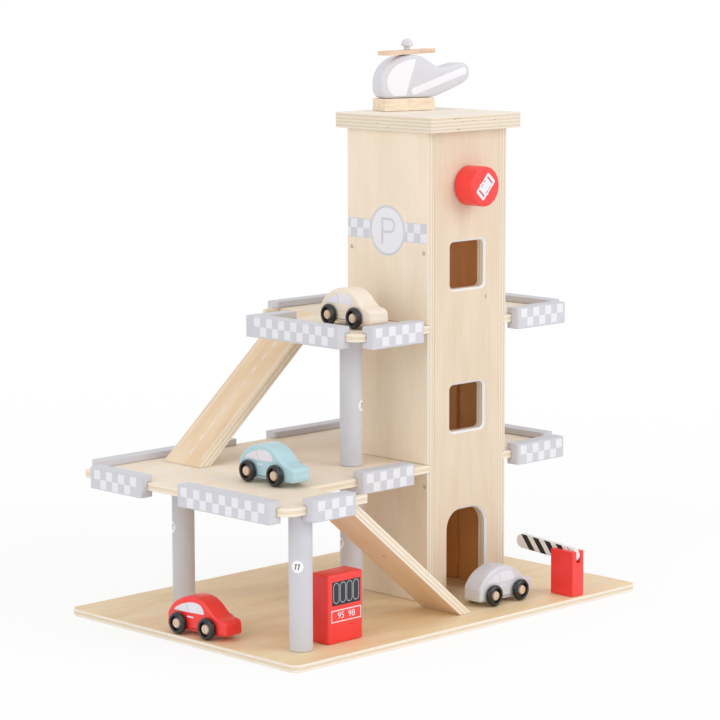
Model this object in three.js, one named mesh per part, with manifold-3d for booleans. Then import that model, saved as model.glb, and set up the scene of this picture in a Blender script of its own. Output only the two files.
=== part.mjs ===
// Wooden toy parking garage: three floors round a lift tower, two ramps, guard rails, a fuel
// pump, a barrier, a helicopter on the roof and four cars. Millimetres, +Z up.
// Plan positions are measured from the near left corner of the base board: X runs along its
// front edge to the right, Y runs to the back, and Z starts at its underside.
import * as THREE from "three";
import { mergeVertices } from "three/addons/utils/BufferGeometryUtils.js";
import Module from "manifold-3d";

const wasm = await Module();
wasm.setup();

// Gaps
const GLUE = 0.2; // glue line between pieces that are fixed face to face
const FIT = 0.3; // room round a piece that slides or turns
const PLAY = 0.5; // room at the end of a travel
const OVERRUN = 1; // how far a cutter passes the face that it opens

// Boards
const BASE = { length: 450, rearMargin: 12.8, thickness: 7, corner: 8.5 };
const DECK = { thickness: 7.5, corner: 3.5 };
const STOREY = { lower: 131, upper: 130.5 };
const ROOF = { thickness: 14.4, left: 6.7, right: 8.3, front: 11.3, rear: 10, corner: 2.5 };

// Guard rails, each a grooved bar pushed on the edge of a deck
const RAIL = { width: 15, seat: 6.5, lip: 6.2, corner: 2.5 };

// Start and end of each bar, from the corner, notch or wall that it is set out from
const LEFT_REAR_RAIL = { start: 90.4, end: 18.5 };
const LEFT_FRONT_RAIL = { start: 11.2, end: 131.5 };
const FRONT_RAIL = { start: 25.5, end: 7.5 };
const TOWER_RAIL = { start: 91.2, end: 24.7 };
const BACK_LEFT_RAIL = { start: 15.5, end: 184.5 };
const BACK_RIGHT_RAIL = { start: 234.5, end: 18.5 };
const WING_FRONT_RAIL = { start: 9.3, end: 4 };
const WING_SIDE_RAIL = { start: 17, end: 9.5 };
const UPPER_LEFT_RAIL = { start: 15, end: 9.3 };
const UPPER_FRONT_RAIL = { start: 11.5, end: 12.2 };
const UPPER_RAMP_RAIL = { end: 44 };
const UPPER_BACK_RAIL = { start: 5.5, end: 20.5 };
const UPPER_WING_FRONT_RAIL = { start: 8.3, end: 5.5 };
const UPPER_WING_SIDE_RAIL = { start: 11, end: 10 };

// Ramps: step is how far the top of a ramp lies under the deck that it leads to
const RAMP = { width: 50, thickness: 9.5, blunt: 1.5 };
const LOWER_RAMP = { run: 154.5, step: 2.7, nearGap: 0.5, farGap: 4 };
const UPPER_RAMP = { run: 152.5, step: 0.2, nearGap: 7.5 };

// Lift tower
const TOWER = { left: 245.2, width: 105.5, depth: 105.1, headroom: 176.9, wall: 9 };
const GROOVE = { depth: 3.5 };
const GUIDE = { width: 4, depth: 3 };
const WINDOW = { width: 45, height: 44, corner: 5, upperRise: 30.2, middleRise: 27 };
const DOOR = { width: 51.4, height: 83, shoulder: 22, offset: 0.6 };
const DOORWAY = { width: 56, height: 74, shoulder: 20 };

// First deck: longer than the second, with a notch for the lower ramp
const FIRST = { front: 21.5, rearStep: 15.5, wing: 79.8, notch: 94, stub: 15, stubWidth: 6 };
const FIRST_ROUND = { front: 18, notch: 3.5 };

// Second deck: a wing on either side of the tower and a strip beside the upper ramp
const SECOND = { leftWing: 90.7, wingDepth: 130.7, rightWing: 81.8, notchInset: 7.7 };
const SECOND_STRIP = { length: 19.5, width: 4.5 };
const SECOND_ROUND = { front: 16, notch: 4 };

// Pillars
const PILLAR = { diameter: 21 };
const CORNER_PILLAR = { x: 34.2 };
const REAR_PILLAR = { x: 85, y: 40.5 };
const WING_PILLAR = { x: 42.8, y: 51.8 };
const FAR_PILLAR = { x: 35.5, y: 32 };

// Lift
const KNOB = { diameter: 37, depth: 22.5, bore: 14, drop: 50.9, edge: 1.8 };
const SPINDLE = { diameter: 8, inset: 2 };
const DRUM = { diameter: 16, length: 22, flange: 24, cheek: 2 };
const CORD = { diameter: 1.6 };
const CAGE = { height: 88, floor: 7.5, wall: 4, roof: 4 };

// Fuel pump and barrier
const PUMP = { x: 69, y: 31.8, length: 42.5, width: 22.7, height: 62, edge: 2 };
const POST = { x: 9.6, y: 3.5, length: 16, width: 28, height: 43, edge: 1.2 };
const SLOT = { width: 5.6, depth: 11.2 };
const ARM = { reach: 69.5, height: 13.5, tilt: 3.7, inset: 0.3 };
const PIVOT = { diameter: 3, cover: 2 };

// Helicopter
const BLOCK = { length: 53, width: 25, height: 11.5, x: 1, y: 84, yaw: -17 };
const HELI = { length: 96.2, height: 40.4, width: 18.5, edge: 2.5, nose: 29.6 };
const ROTOR = { length: 80, width: 12, thickness: 4, yaw: 28 };
const MAST = { diameter: 4, depth: 20, neck: 6, neckHeight: 3.2, cap: 11.5, capHeight: 7.2 };

// Cars: axle places are measured from the back of the body
const CAR = { length: 72.5, width: 21.6, height: 30.6, ground: 5, edge: 2.4, rear: 16, base: 36 };
const WHEEL = { diameter: 20.2, width: 5.3, dish: 14.4, dishDepth: 1.5, hub: 8.6, edge: 1.6 };
const AXLE = { diameter: 4.4 };
const RED_CAR = { x: 18.6, y: 140.6, turn: 4.3 };
const BLUE_CAR = { x: 6.7, y: 40.4 };
const WOOD_CAR = { x: 40.1, y: 46.8, turn: -4.7 };
const GREY_CAR = { x: 54.6, y: 16.2 };

// Counts of flat faces on round pieces
const ROUND = 24;
const WHEEL_ROUND = 20;
const KNOB_ROUND = 32;
const PIN_ROUND = 14;
const CORNER_STEPS = 2;
const EASE_STEPS = 1;
const DOME_STEPS = 6;

// Shares of other sizes
const EASE_SHARE = 0.3; // how far an eased edge is cut back at its middle
const MAST_SHARE = 0.344; // place of the mast along the helicopter

// Side view of the helicopter as shares of its length and height, from the nose
const HELI_BOTTOM_SHARES = [[0.058, 0], [0.573, 0], [0.625, 0.02], [0.739, 0.124], [0.885, 0.262]];
const HELI_TAIL_SHARES = [[0.968, 0.376], [1, 0.52], [0.996, 0.656], [0.957, 0.755], [0.885, 0.787]];
const HELI_BACK_SHARES = [[0.807, 0.762], [0.739, 0.708], [0.682, 0.683], [0.614, 0.725], [0.552, 0.829]];
const HELI_TOP_SHARES = [[0.479, 0.941], [0.406, 0.99], [0.325, 1], [0.235, 0.973], [0.147, 0.899]];
const HELI_NOSE_SHARES = [[0.079, 0.78], [0.032, 0.631], [0.004, 0.446], [0, 0.285], [0.017, 0.111]];

// Side view of a car as shares of its length and height, from the back
const CAR_BACK_SHARES = [[0, 0.41], [0.029, 0.5], [0.099, 0.7], [0.207, 0.87], [0.315, 0.962]];
const CAR_ROOF_SHARES = [[0.441, 1], [0.531, 0.968], [0.621, 0.892], [0.692, 0.785], [0.764, 0.63]];
const CAR_HOOD_SHARES = [[0.821, 0.528], [0.893, 0.475], [0.979, 0.424], [1, 0.37]];

const COLOUR = { ply: 0xe6cca4, grey: 0xa9abb0, pale: 0xb9bac2, red: 0xe84b45, black: 0x1c1c1e };
const CAR_COLOUR = { red: 0xe23b35, blue: 0xa9d9e6, wood: 0xecd3a6, grey: 0xb9bac2 };
const ROUGHNESS = { ply: 0.55, bare: 0.6, grey: 0.5, paint: 0.4, gloss: 0.35, wheel: 0.45, cord: 0.9 };

// Heights of the walking surfaces
const groundTop = BASE.thickness;
const firstTop = groundTop + STOREY.lower;
const secondTop = firstTop + STOREY.upper;
const towerTop = secondTop + TOWER.headroom;
const roofTop = towerTop + GLUE + ROOF.thickness;

// Plan places that several pieces share
const railWeb = RAIL.width - RAIL.seat;
const lowerRampFront = FIRST.front + FIRST.stubWidth + LOWER_RAMP.nearGap;
const towerFront = lowerRampFront + RAMP.width + LOWER_RAMP.farGap;
const towerRear = towerFront + TOWER.depth;
const towerRight = TOWER.left + TOWER.width;
const towerMiddleX = TOWER.left + TOWER.width / 2;
const towerMiddleY = towerFront + TOWER.depth / 2;
const innerLeft = TOWER.left + TOWER.wall;
const innerRight = towerRight - TOWER.wall;
const firstLeft = railWeb;
const firstRight = towerRight + FIRST.wing;
const secondLeft = TOWER.left - SECOND.leftWing;
const secondRight = towerRight + SECOND.rightWing;
const secondNotch = TOWER.left - SECOND.notchInset;
const wingRear = towerFront + SECOND.wingDepth;
const upperRampFront = wingRear + UPPER_RAMP.nearGap;
const secondRear = upperRampFront + RAMP.width + FIT + RAIL.seat;
const firstRear = secondRear + FIRST.rearStep;
const baseWidth = firstRear + BASE.rearMargin;
const liftZ = towerTop - KNOB.drop;

// One sub-part: a named mesh with its own painted material
function part(name, geometry, colour, roughness) {
  const material = new THREE.MeshStandardMaterial({ color: colour, roughness, metalness: 0 });
  const mesh = new THREE.Mesh(geometry, material);
  mesh.name = name;
  return mesh;
}

function at(object, x, y, z) {
  object.position.set(x, y, z);
  return object;
}

function group(...children) {
  const result = new THREE.Group();
  result.add(...children);
  return result;
}

// Solid with merged corners for joining and cutting
function solid(geometry) {
  const bare = geometry.clone();
  bare.deleteAttribute("normal");
  bare.deleteAttribute("uv");
  const merged = mergeVertices(bare, 1e-5);
  const vertProperties = new Float32Array(merged.attributes.position.array);
  const triVerts = new Uint32Array(merged.index.array);
  return new wasm.Manifold(new wasm.Mesh({ numProp: 3, vertProperties, triVerts }));
}

function cut(geometry, cutters) {
  let body = solid(geometry);
  for (const cutter of cutters) {
    body = body.subtract(solid(cutter));
  }
  return surface(body);
}

function join(geometries) {
  let body = solid(geometries[0]);
  for (const geometry of geometries.slice(1)) {
    body = body.add(solid(geometry));
  }
  return surface(body);
}

function surface(body) {
  const mesh = body.getMesh();
  const corners = mesh.numProp;
  const points = [];
  for (let i = 0; i < mesh.numVert; i += 1) {
    points.push(...mesh.vertProperties.slice(i * corners, i * corners + 3));
  }
  const geometry = new THREE.BufferGeometry();
  geometry.setAttribute("position", new THREE.Float32BufferAttribute(points, 3));
  geometry.setIndex(Array.from(mesh.triVerts));
  geometry.computeVertexNormals();
  return geometry;
}

// Outline through [x, y, radius] corners, each rounded by an arc of its radius
function rounded(corners) {
  const shape = new THREE.Shape();
  const count = corners.length;
  corners.forEach(([x, y, radius], i) => {
    const corner = new THREE.Vector2(x, y);
    const before = new THREE.Vector2(...corners[(i + count - 1) % count]).sub(corner).normalize();
    const after = new THREE.Vector2(...corners[(i + 1) % count]).sub(corner).normalize();
    const half = Math.acos(before.dot(after)) / 2;
    const start = corner.clone().addScaledVector(before, radius / Math.tan(half));
    if (i === 0) {
      shape.moveTo(start.x, start.y);
    } else {
      shape.lineTo(start.x, start.y);
    }
    if (radius > 0) {
      const inward = before.clone().add(after).normalize();
      const centre = corner.clone().addScaledVector(inward, radius / Math.sin(half));
      const end = corner.clone().addScaledVector(after, radius / Math.tan(half));
      const from = start.sub(centre).angle();
      const to = end.sub(centre).angle();
      shape.absarc(centre.x, centre.y, radius, from, to, before.cross(after) > 0);
    }
  });
  shape.closePath();
  return shape;
}

function rectangle(x0, x1, y0, y1, radius) {
  return rounded([[x0, y0, radius], [x1, y0, radius], [x1, y1, radius], [x0, y1, radius]]);
}

// Flat board of a plan outline, its underside at Z zero
function board(shape, thickness) {
  const options = { depth: thickness, bevelEnabled: false, curveSegments: CORNER_STEPS };
  return new THREE.ExtrudeGeometry(shape, options);
}

// Board with eased edges, the same size outside
function easedBoard(shape, thickness, edge, steps) {
  const bevel = { bevelEnabled: true, bevelThickness: edge, bevelSize: edge, bevelOffset: -edge };
  const depth = thickness - 2 * edge;
  const options = { depth, bevelSegments: 2, curveSegments: steps, ...bevel };
  return new THREE.ExtrudeGeometry(shape, options).translate(0, 0, edge);
}

// Turns a board whose outline is drawn in X and Z upright, its near face at Y zero
function upright(geometry, thickness) {
  return geometry.rotateX(Math.PI / 2).translate(0, thickness, 0);
}

// Round hole in an outline, as four arcs so that it keeps its bore when it is faceted
function roundHole(x, y, radius) {
  const hole = new THREE.Path();
  for (let quarter = 0; quarter < 4; quarter += 1) {
    const from = quarter * (Math.PI / 2);
    hole.absarc(x, y, radius, from, from + Math.PI / 2);
  }
  return hole;
}

function box(x0, x1, y0, y1, z0, z1) {
  const geometry = new THREE.BoxGeometry(x1 - x0, y1 - y0, z1 - z0);
  return geometry.translate((x0 + x1) / 2, (y0 + y1) / 2, (z0 + z1) / 2);
}

// Turned piece round the Y axis through [radius, y] points
function turned(points, faces) {
  return new THREE.LatheGeometry(points.map(([r, y]) => new THREE.Vector2(r, y)), faces);
}

function rodY(diameter, y0, y1, faces) {
  return turned([[0, y0], [diameter / 2, y0], [diameter / 2, y1], [0, y1]], faces);
}

function rodX(diameter, x0, x1, faces) {
  return rodY(diameter, -x1, -x0, faces).rotateZ(Math.PI / 2);
}

function rodZ(diameter, z0, z1, faces) {
  return rodY(diameter, z0, z1, faces).rotateX(Math.PI / 2);
}

function baseBoard() {
  const outline = rectangle(0, BASE.length, 0, baseWidth, BASE.corner);
  return part("base_board", board(outline, BASE.thickness), COLOUR.ply, ROUGHNESS.ply);
}

// Deck grooves run along the outside of a side panel, and the lift's guide along its inside
function sidePanel(name, outerFace, inward) {
  const outer = (depth) => outerFace + inward * depth;
  const span = (a, b) => [Math.min(a, b), Math.max(a, b)];
  const front = towerFront - OVERRUN;
  const rear = towerRear + OVERRUN;
  const bottom = groundTop + GLUE;
  const cutters = [firstTop, secondTop].map((top) => {
    const [x0, x1] = span(outer(-OVERRUN), outer(GROOVE.depth));
    return box(x0, x1, front, rear, top - DECK.thickness - GLUE, top + GLUE);
  });
  const [g0, g1] = span(outer(TOWER.wall - GUIDE.depth), outer(TOWER.wall + OVERRUN));
  const guideFront = towerMiddleY - GUIDE.width / 2;
  const guideRear = towerMiddleY + GUIDE.width / 2;
  const guideTop = secondTop - CAGE.floor + CAGE.height + PLAY;
  cutters.push(box(g0, g1, guideFront, guideRear, bottom - OVERRUN, guideTop));
  const [x0, x1] = span(outer(0), outer(TOWER.wall));
  const panel = box(x0, x1, towerFront, towerRear, bottom, towerTop);
  return part(name, cut(panel, cutters), COLOUR.ply, ROUGHNESS.ply);
}

// Upright panel between the side panels, with openings drawn in X and Z
function crossPanel(name, front, holes) {
  const outline = rectangle(innerLeft + GLUE, innerRight - GLUE, groundTop + GLUE, towerTop, 0);
  outline.holes.push(...holes);
  const panel = upright(board(outline, TOWER.wall), TOWER.wall);
  return at(part(name, panel, COLOUR.ply, ROUGHNESS.ply), 0, front, 0);
}

function archway(middle, bottom, width, height, shoulder) {
  const left = middle - width / 2;
  const right = middle + width / 2;
  const top = bottom + height;
  return rounded([[left, bottom, 0], [right, bottom, 0], [right, top, shoulder], [left, top, shoulder]]);
}

function bearing() {
  return roundHole(towerMiddleX, liftZ, SPINDLE.diameter / 2 + FIT);
}

function tower() {
  const left = towerMiddleX - WINDOW.width / 2 + DOOR.offset;
  const right = left + WINDOW.width;
  const sills = [secondTop + WINDOW.upperRise, firstTop + WINDOW.middleRise];
  const windows = sills.map((sill) => {
    return rectangle(left, right, sill, sill + WINDOW.height, WINDOW.corner);
  });
  const doorBottom = groundTop + 2 * GLUE;
  const middle = towerMiddleX + DOOR.offset;
  const door = archway(middle, doorBottom, DOOR.width, DOOR.height, DOOR.shoulder);
  const exits = [firstTop, secondTop].map((top) => {
    return archway(towerMiddleX, top, DOORWAY.width, DOORWAY.height, DOORWAY.shoulder);
  });
  const front = crossPanel("tower_front", towerFront, [door, ...windows, bearing()]);
  const rearFace = towerRear - TOWER.wall;
  const back = crossPanel("tower_back", rearFace, [...exits, bearing()]);
  const leftSide = sidePanel("tower_left", TOWER.left, 1);
  const rightSide = sidePanel("tower_right", towerRight, -1);
  return group(front, back, leftSide, rightSide);
}

function roof() {
  const x0 = TOWER.left - ROOF.left;
  const x1 = towerRight + ROOF.right;
  const outline = rectangle(x0, x1, towerFront - ROOF.front, towerRear + ROOF.rear, ROOF.corner);
  const lid = part("roof_board", board(outline, ROOF.thickness), COLOUR.ply, ROUGHNESS.ply);
  return at(lid, 0, 0, towerTop + GLUE);
}

// Both decks are cut out round the tower, and their edges run in its grooves
function firstDeck() {
  const gripLeft = TOWER.left + GROOVE.depth - GLUE;
  const gripRight = towerRight - GROOVE.depth + GLUE;
  const stubEnd = FIRST.notch + FIRST.stub;
  const stubRear = FIRST.front + FIRST.stubWidth;
  const stubRound = FIRST.stubWidth / 2 - GLUE;
  const outline = rounded([
    [firstLeft, FIRST.front, FIRST_ROUND.front],
    [stubEnd, FIRST.front, stubRound],
    [stubEnd, stubRear, stubRound],
    [FIRST.notch, stubRear, 0],
    [FIRST.notch, towerFront, FIRST_ROUND.notch],
    [gripLeft, towerFront, 0],
    [gripLeft, towerRear + GLUE, 0],
    [gripRight, towerRear + GLUE, 0],
    [gripRight, towerFront, 0],
    [firstRight, towerFront, DECK.corner],
    [firstRight, firstRear, DECK.corner],
    [firstLeft, firstRear, DECK.corner],
  ]);
  const deck = part("level1_deck", board(outline, DECK.thickness), COLOUR.ply, ROUGHNESS.ply);
  return at(deck, 0, 0, firstTop - DECK.thickness);
}

function secondDeck() {
  const gripLeft = TOWER.left + GROOVE.depth - GLUE;
  const gripRight = towerRight - GROOVE.depth + GLUE;
  const stripEnd = secondNotch - SECOND_STRIP.length;
  const stripFront = secondRear - SECOND_STRIP.width;
  const stripRound = SECOND_STRIP.width / 2 - GLUE;
  const outline = rounded([
    [secondLeft, towerFront, SECOND_ROUND.front],
    [gripLeft, towerFront, 0],
    [gripLeft, towerRear + GLUE, 0],
    [gripRight, towerRear + GLUE, 0],
    [gripRight, towerFront, 0],
    [secondRight, towerFront, DECK.corner],
    [secondRight, secondRear, DECK.corner],
    [stripEnd, secondRear, stripRound],
    [stripEnd, stripFront, stripRound],
    [secondNotch, stripFront, 0],
    [secondNotch, wingRear, SECOND_ROUND.notch],
    [secondLeft, wingRear, DECK.corner],
  ]);
  const deck = part("level2_deck", board(outline, DECK.thickness), COLOUR.ply, ROUGHNESS.ply);
  return at(deck, 0, 0, secondTop - DECK.thickness);
}

// Grooved bar: length along X, its outer face at Y zero, the groove open to the back
function railGeometry(length) {
  const height = DECK.thickness + 2 * RAIL.lip;
  const bar = board(rectangle(0, length, 0, RAIL.width, RAIL.corner), height);
  const reach = RAIL.width + OVERRUN;
  const low = RAIL.lip - GLUE;
  const high = height - RAIL.lip + GLUE;
  const groove = box(-OVERRUN, length + OVERRUN, railWeb - GLUE, reach, low, high);
  return cut(bar, [groove]);
}

// Each bar stands on one edge of a deck, from one place along that edge to another
function rail(name, deckTop, side, edge, from, to) {
  const bar = part(name, railGeometry(to - from), COLOUR.grey, ROUGHNESS.grey);
  const bottom = deckTop - DECK.thickness - RAIL.lip;
  const places = {
    front: [0, from, edge - railWeb],
    rear: [Math.PI, to, edge + railWeb],
    left: [-Math.PI / 2, edge - railWeb, to],
    right: [Math.PI / 2, edge + railWeb, from],
  };
  const [turn, x, y] = places[side];
  bar.rotation.z = turn;
  return at(bar, x, y, bottom);
}

function firstRails() {
  const z = firstTop;
  const [left, right] = [firstLeft, firstRight];
  const leftRear = [firstRear - LEFT_REAR_RAIL.start, firstRear - LEFT_REAR_RAIL.end];
  const leftFront = [FIRST.front + LEFT_FRONT_RAIL.start, FIRST.front + LEFT_FRONT_RAIL.end];
  const front = [left + FRONT_RAIL.start, FIRST.notch - FRONT_RAIL.end];
  const besideTower = [TOWER.left - TOWER_RAIL.start, TOWER.left - TOWER_RAIL.end];
  const backLeft = [left + BACK_LEFT_RAIL.start, left + BACK_LEFT_RAIL.end];
  const backRight = [left + BACK_RIGHT_RAIL.start, right - BACK_RIGHT_RAIL.end];
  const wingFront = [towerRight + WING_FRONT_RAIL.start, right - WING_FRONT_RAIL.end];
  const wingSide = [towerFront + WING_SIDE_RAIL.start, firstRear - WING_SIDE_RAIL.end];
  return group(
    rail("level1_rail_left_rear", z, "left", left, ...leftRear),
    rail("level1_rail_left_front", z, "left", left, ...leftFront),
    rail("level1_rail_front", z, "front", FIRST.front, ...front),
    rail("level1_rail_tower", z, "front", towerFront, ...besideTower),
    rail("level1_rail_back_left", z, "rear", firstRear, ...backLeft),
    rail("level1_rail_back_right", z, "rear", firstRear, ...backRight),
    rail("level1_rail_wing_front", z, "front", towerFront, ...wingFront),
    rail("level1_rail_wing_side", z, "right", right, ...wingSide),
  );
}

function secondRails() {
  const z = secondTop;
  const [left, right] = [secondLeft, secondRight];
  const leftSide = [towerFront + UPPER_LEFT_RAIL.start, wingRear + UPPER_LEFT_RAIL.end];
  const front = [left + UPPER_FRONT_RAIL.start, TOWER.left - UPPER_FRONT_RAIL.end];
  const besideRamp = [left + RAIL.seat + GLUE, left + UPPER_RAMP_RAIL.end];
  const back = [secondNotch - UPPER_BACK_RAIL.start, right - UPPER_BACK_RAIL.end];
  const wingFront = [towerRight + UPPER_WING_FRONT_RAIL.start, right - UPPER_WING_FRONT_RAIL.end];
  const wingSide = [towerFront + UPPER_WING_SIDE_RAIL.start, secondRear - UPPER_WING_SIDE_RAIL.end];
  return group(
    rail("level2_rail_left", z, "left", left, ...leftSide),
    rail("level2_rail_front", z, "front", towerFront, ...front),
    rail("level2_rail_ramp", z, "rear", wingRear, ...besideRamp),
    rail("level2_rail_back", z, "rear", secondRear, ...back),
    rail("level2_rail_wing_front", z, "front", towerFront, ...wingFront),
    rail("level2_rail_wing_side", z, "right", right, ...wingSide),
  );
}

function pillar(name, x, y, floor, deckTop) {
  const bottom = floor + GLUE;
  const top = deckTop - DECK.thickness - GLUE;
  return at(part(name, rodZ(PILLAR.diameter, bottom, top, ROUND), COLOUR.grey, ROUGHNESS.grey), x, y, 0);
}

function pillars() {
  const cornerX = firstLeft + CORNER_PILLAR.x;
  const cornerY = FIRST.front + RAIL.seat + PILLAR.diameter / 2 + FIT;
  const wingX = secondLeft + WING_PILLAR.x;
  const wingY = towerFront + WING_PILLAR.y;
  const farX = firstRight - FAR_PILLAR.x;
  const farY = secondRear - FAR_PILLAR.y;
  const rearX = firstLeft + REAR_PILLAR.x;
  const rearY = firstRear - REAR_PILLAR.y;
  return group(
    pillar("pillar_front", cornerX, cornerY, groundTop, firstTop),
    pillar("pillar_rear", rearX, rearY, groundTop, firstTop),
    pillar("pillar_middle", wingX, wingY, groundTop, firstTop),
    pillar("pillar_far", farX, farY, groundTop, firstTop),
    pillar("upper_pillar_middle", wingX, wingY, firstTop, secondTop),
    pillar("upper_pillar_far", farX, farY, firstTop, secondTop),
  );
}

// Sloping board: its high end at X zero, its foot on the floor at X run times direction
function rampGeometry({ run, step }, rise, direction) {
  const high = rise - step;
  const slope = high / run;
  const drop = RAMP.thickness * Math.hypot(1, slope);
  const tip = run - RAMP.blunt / slope;
  const heel = run - drop / slope;
  const profile = [[GLUE, high - GLUE * slope], [tip, RAMP.blunt], [tip, GLUE], [heel, GLUE]];
  profile.push([GLUE, high - drop]);
  const outline = rounded(profile.map(([x, z]) => [direction * x, z, 0]));
  return upright(board(outline, RAMP.width), RAMP.width);
}

function ramps() {
  const lower = part("lower_ramp", rampGeometry(LOWER_RAMP, STOREY.lower, 1), COLOUR.ply, ROUGHNESS.ply);
  const upper = part("upper_ramp", rampGeometry(UPPER_RAMP, STOREY.upper, -1), COLOUR.ply, ROUGHNESS.ply);
  at(lower, FIRST.notch, lowerRampFront, groundTop);
  at(upper, secondNotch, upperRampFront, firstTop);
  return group(lower, upper);
}

// The knob, its spindle and the drum turn together, and the drum winds the cord
function liftDrive() {
  const radius = KNOB.diameter / 2;
  const back = -PLAY;
  const front = back - KNOB.depth;
  const bore = SPINDLE.diameter / 2 + GLUE;
  const boreEnd = back - KNOB.bore;
  const knobProfile = [
    [0, front],
    [radius - KNOB.edge, front],
    [radius - KNOB.edge * EASE_SHARE, front + KNOB.edge * EASE_SHARE],
    [radius, front + KNOB.edge],
    [radius, back],
    [bore, back],
    [bore, boreEnd],
    [0, boreEnd],
  ];
  const shaft = SPINDLE.diameter / 2;
  const flange = DRUM.flange / 2;
  const drum = DRUM.diameter / 2;
  const nearCheek = (TOWER.depth - DRUM.length) / 2;
  const farCheek = nearCheek + DRUM.length;
  const shaftEnd = TOWER.depth - SPINDLE.inset;
  const spindleProfile = [
    [0, boreEnd + GLUE],
    [shaft, boreEnd + GLUE],
    [shaft, nearCheek - DRUM.cheek],
    [flange, nearCheek - DRUM.cheek],
    [flange, nearCheek],
    [drum, nearCheek],
    [drum, farCheek],
    [flange, farCheek],
    [flange, farCheek + DRUM.cheek],
    [shaft, farCheek + DRUM.cheek],
    [shaft, shaftEnd],
    [0, shaftEnd],
  ];
  const knob = part("lift_knob", turned(knobProfile, KNOB_ROUND), COLOUR.red, ROUGHNESS.gloss);
  const spindle = part("lift_spindle", turned(spindleProfile, WHEEL_ROUND), COLOUR.ply, ROUGHNESS.bare);
  return at(group(knob, spindle), towerMiddleX, towerFront, liftZ);
}

// Open-ended cage at rest on the top floor, with tongues in the guides of the side panels
function liftCage() {
  const left = innerLeft + PLAY;
  const right = innerRight - PLAY;
  const front = towerFront + TOWER.wall + PLAY;
  const depth = TOWER.depth - 2 * TOWER.wall - 2 * PLAY;
  const bottom = secondTop - CAGE.floor;
  const top = bottom + CAGE.height;
  const shell = rectangle(left, right, bottom, top, 0);
  const room = [left + CAGE.wall, right - CAGE.wall, secondTop, top - CAGE.roof];
  shell.holes.push(rectangle(...room, 0));
  const tongueFront = towerMiddleY - GUIDE.width / 2 + FIT;
  const tongueRear = towerMiddleY + GUIDE.width / 2 - FIT;
  const reach = GUIDE.depth - FIT;
  const sunk = CAGE.wall / 2;
  const body = upright(board(shell, depth), depth).translate(0, front, 0);
  const tongues = [
    box(innerLeft - reach, left + sunk, tongueFront, tongueRear, bottom, top),
    box(right - sunk, innerRight + reach, tongueFront, tongueRear, bottom, top),
  ];
  const cage = part("lift_cage", join([body, ...tongues]), COLOUR.ply, ROUGHNESS.bare);
  const cordX = towerMiddleX - DRUM.diameter / 2 - CORD.diameter / 2 - FIT;
  const line = rodZ(CORD.diameter, top + FIT, liftZ, PIN_ROUND);
  const cord = at(part("lift_cord", line, COLOUR.grey, ROUGHNESS.cord), cordX, towerMiddleY, 0);
  return group(cage, cord);
}

function fuelPump() {
  const outline = rectangle(0, PUMP.length, 0, PUMP.width, PUMP.edge);
  const block = easedBoard(outline, PUMP.height, PUMP.edge / 2, EASE_STEPS);
  return at(part("fuel_pump", block, COLOUR.red, ROUGHNESS.paint), PUMP.x, PUMP.y, groundTop + GLUE);
}

// The arm turns on a pin in the slot of the post, and its near end is round about that pin
function barrier() {
  const armRadius = ARM.height / 2;
  const pivotY = ARM.inset + armRadius;
  const slotFloor = POST.height - SLOT.depth;
  const pivotZ = slotFloor + FIT + armRadius;
  const middle = POST.length / 2;
  const outline = rectangle(0, POST.length, 0, POST.width, POST.edge);
  const block = easedBoard(outline, POST.height, POST.edge / 2, EASE_STEPS);
  const slotTop = POST.height + OVERRUN;
  const slotEnds = [-OVERRUN, POST.width + OVERRUN];
  const halfSlot = SLOT.width / 2;
  const slot = box(middle - halfSlot, middle + halfSlot, ...slotEnds, slotFloor, slotTop);
  const pinEnd = POST.length + OVERRUN;
  const pinHole = rodX(PIVOT.diameter + 2 * GLUE, PIVOT.cover, pinEnd, PIN_ROUND);
  const slotted = cut(block, [slot, pinHole.translate(0, pivotY, pivotZ)]);
  const post = part("barrier_post", slotted, COLOUR.red, ROUGHNESS.paint);
  const pinLength = [PIVOT.cover + GLUE, POST.length - GLUE];
  const pin = part("barrier_pin", rodX(PIVOT.diameter, ...pinLength, PIN_ROUND), COLOUR.ply, ROUGHNESS.grey);
  at(pin, 0, pivotY, pivotZ);
  const straight = ARM.reach - armRadius;
  const armShape = new THREE.Shape();
  armShape.absarc(0, 0, armRadius, Math.PI / 2, -Math.PI / 2);
  armShape.absarc(straight, 0, armRadius, -Math.PI / 2, Math.PI / 2);
  armShape.closePath();
  armShape.holes.push(roundHole(0, 0, PIVOT.diameter / 2 + FIT));
  const thickness = SLOT.width - 2 * FIT;
  const blade = board(armShape, thickness).translate(0, 0, -thickness / 2);
  blade.rotateX(Math.PI / 2).rotateZ(Math.PI / 2);
  const arm = part("barrier_arm", blade, COLOUR.pale, ROUGHNESS.grey);
  arm.rotation.x = THREE.MathUtils.degToRad(ARM.tilt);
  at(arm, middle, pivotY, pivotZ);
  return at(group(post, pin, arm), towerRight + POST.x, POST.y, groundTop + GLUE);
}

// Closed outline through shares of a length and a height
function silhouette(shares, length, height) {
  const shape = new THREE.Shape();
  shares.forEach(([x, z], i) => {
    if (i === 0) {
      shape.moveTo(x * length, z * height);
    } else {
      shape.lineTo(x * length, z * height);
    }
  });
  shape.closePath();
  return shape;
}

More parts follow.
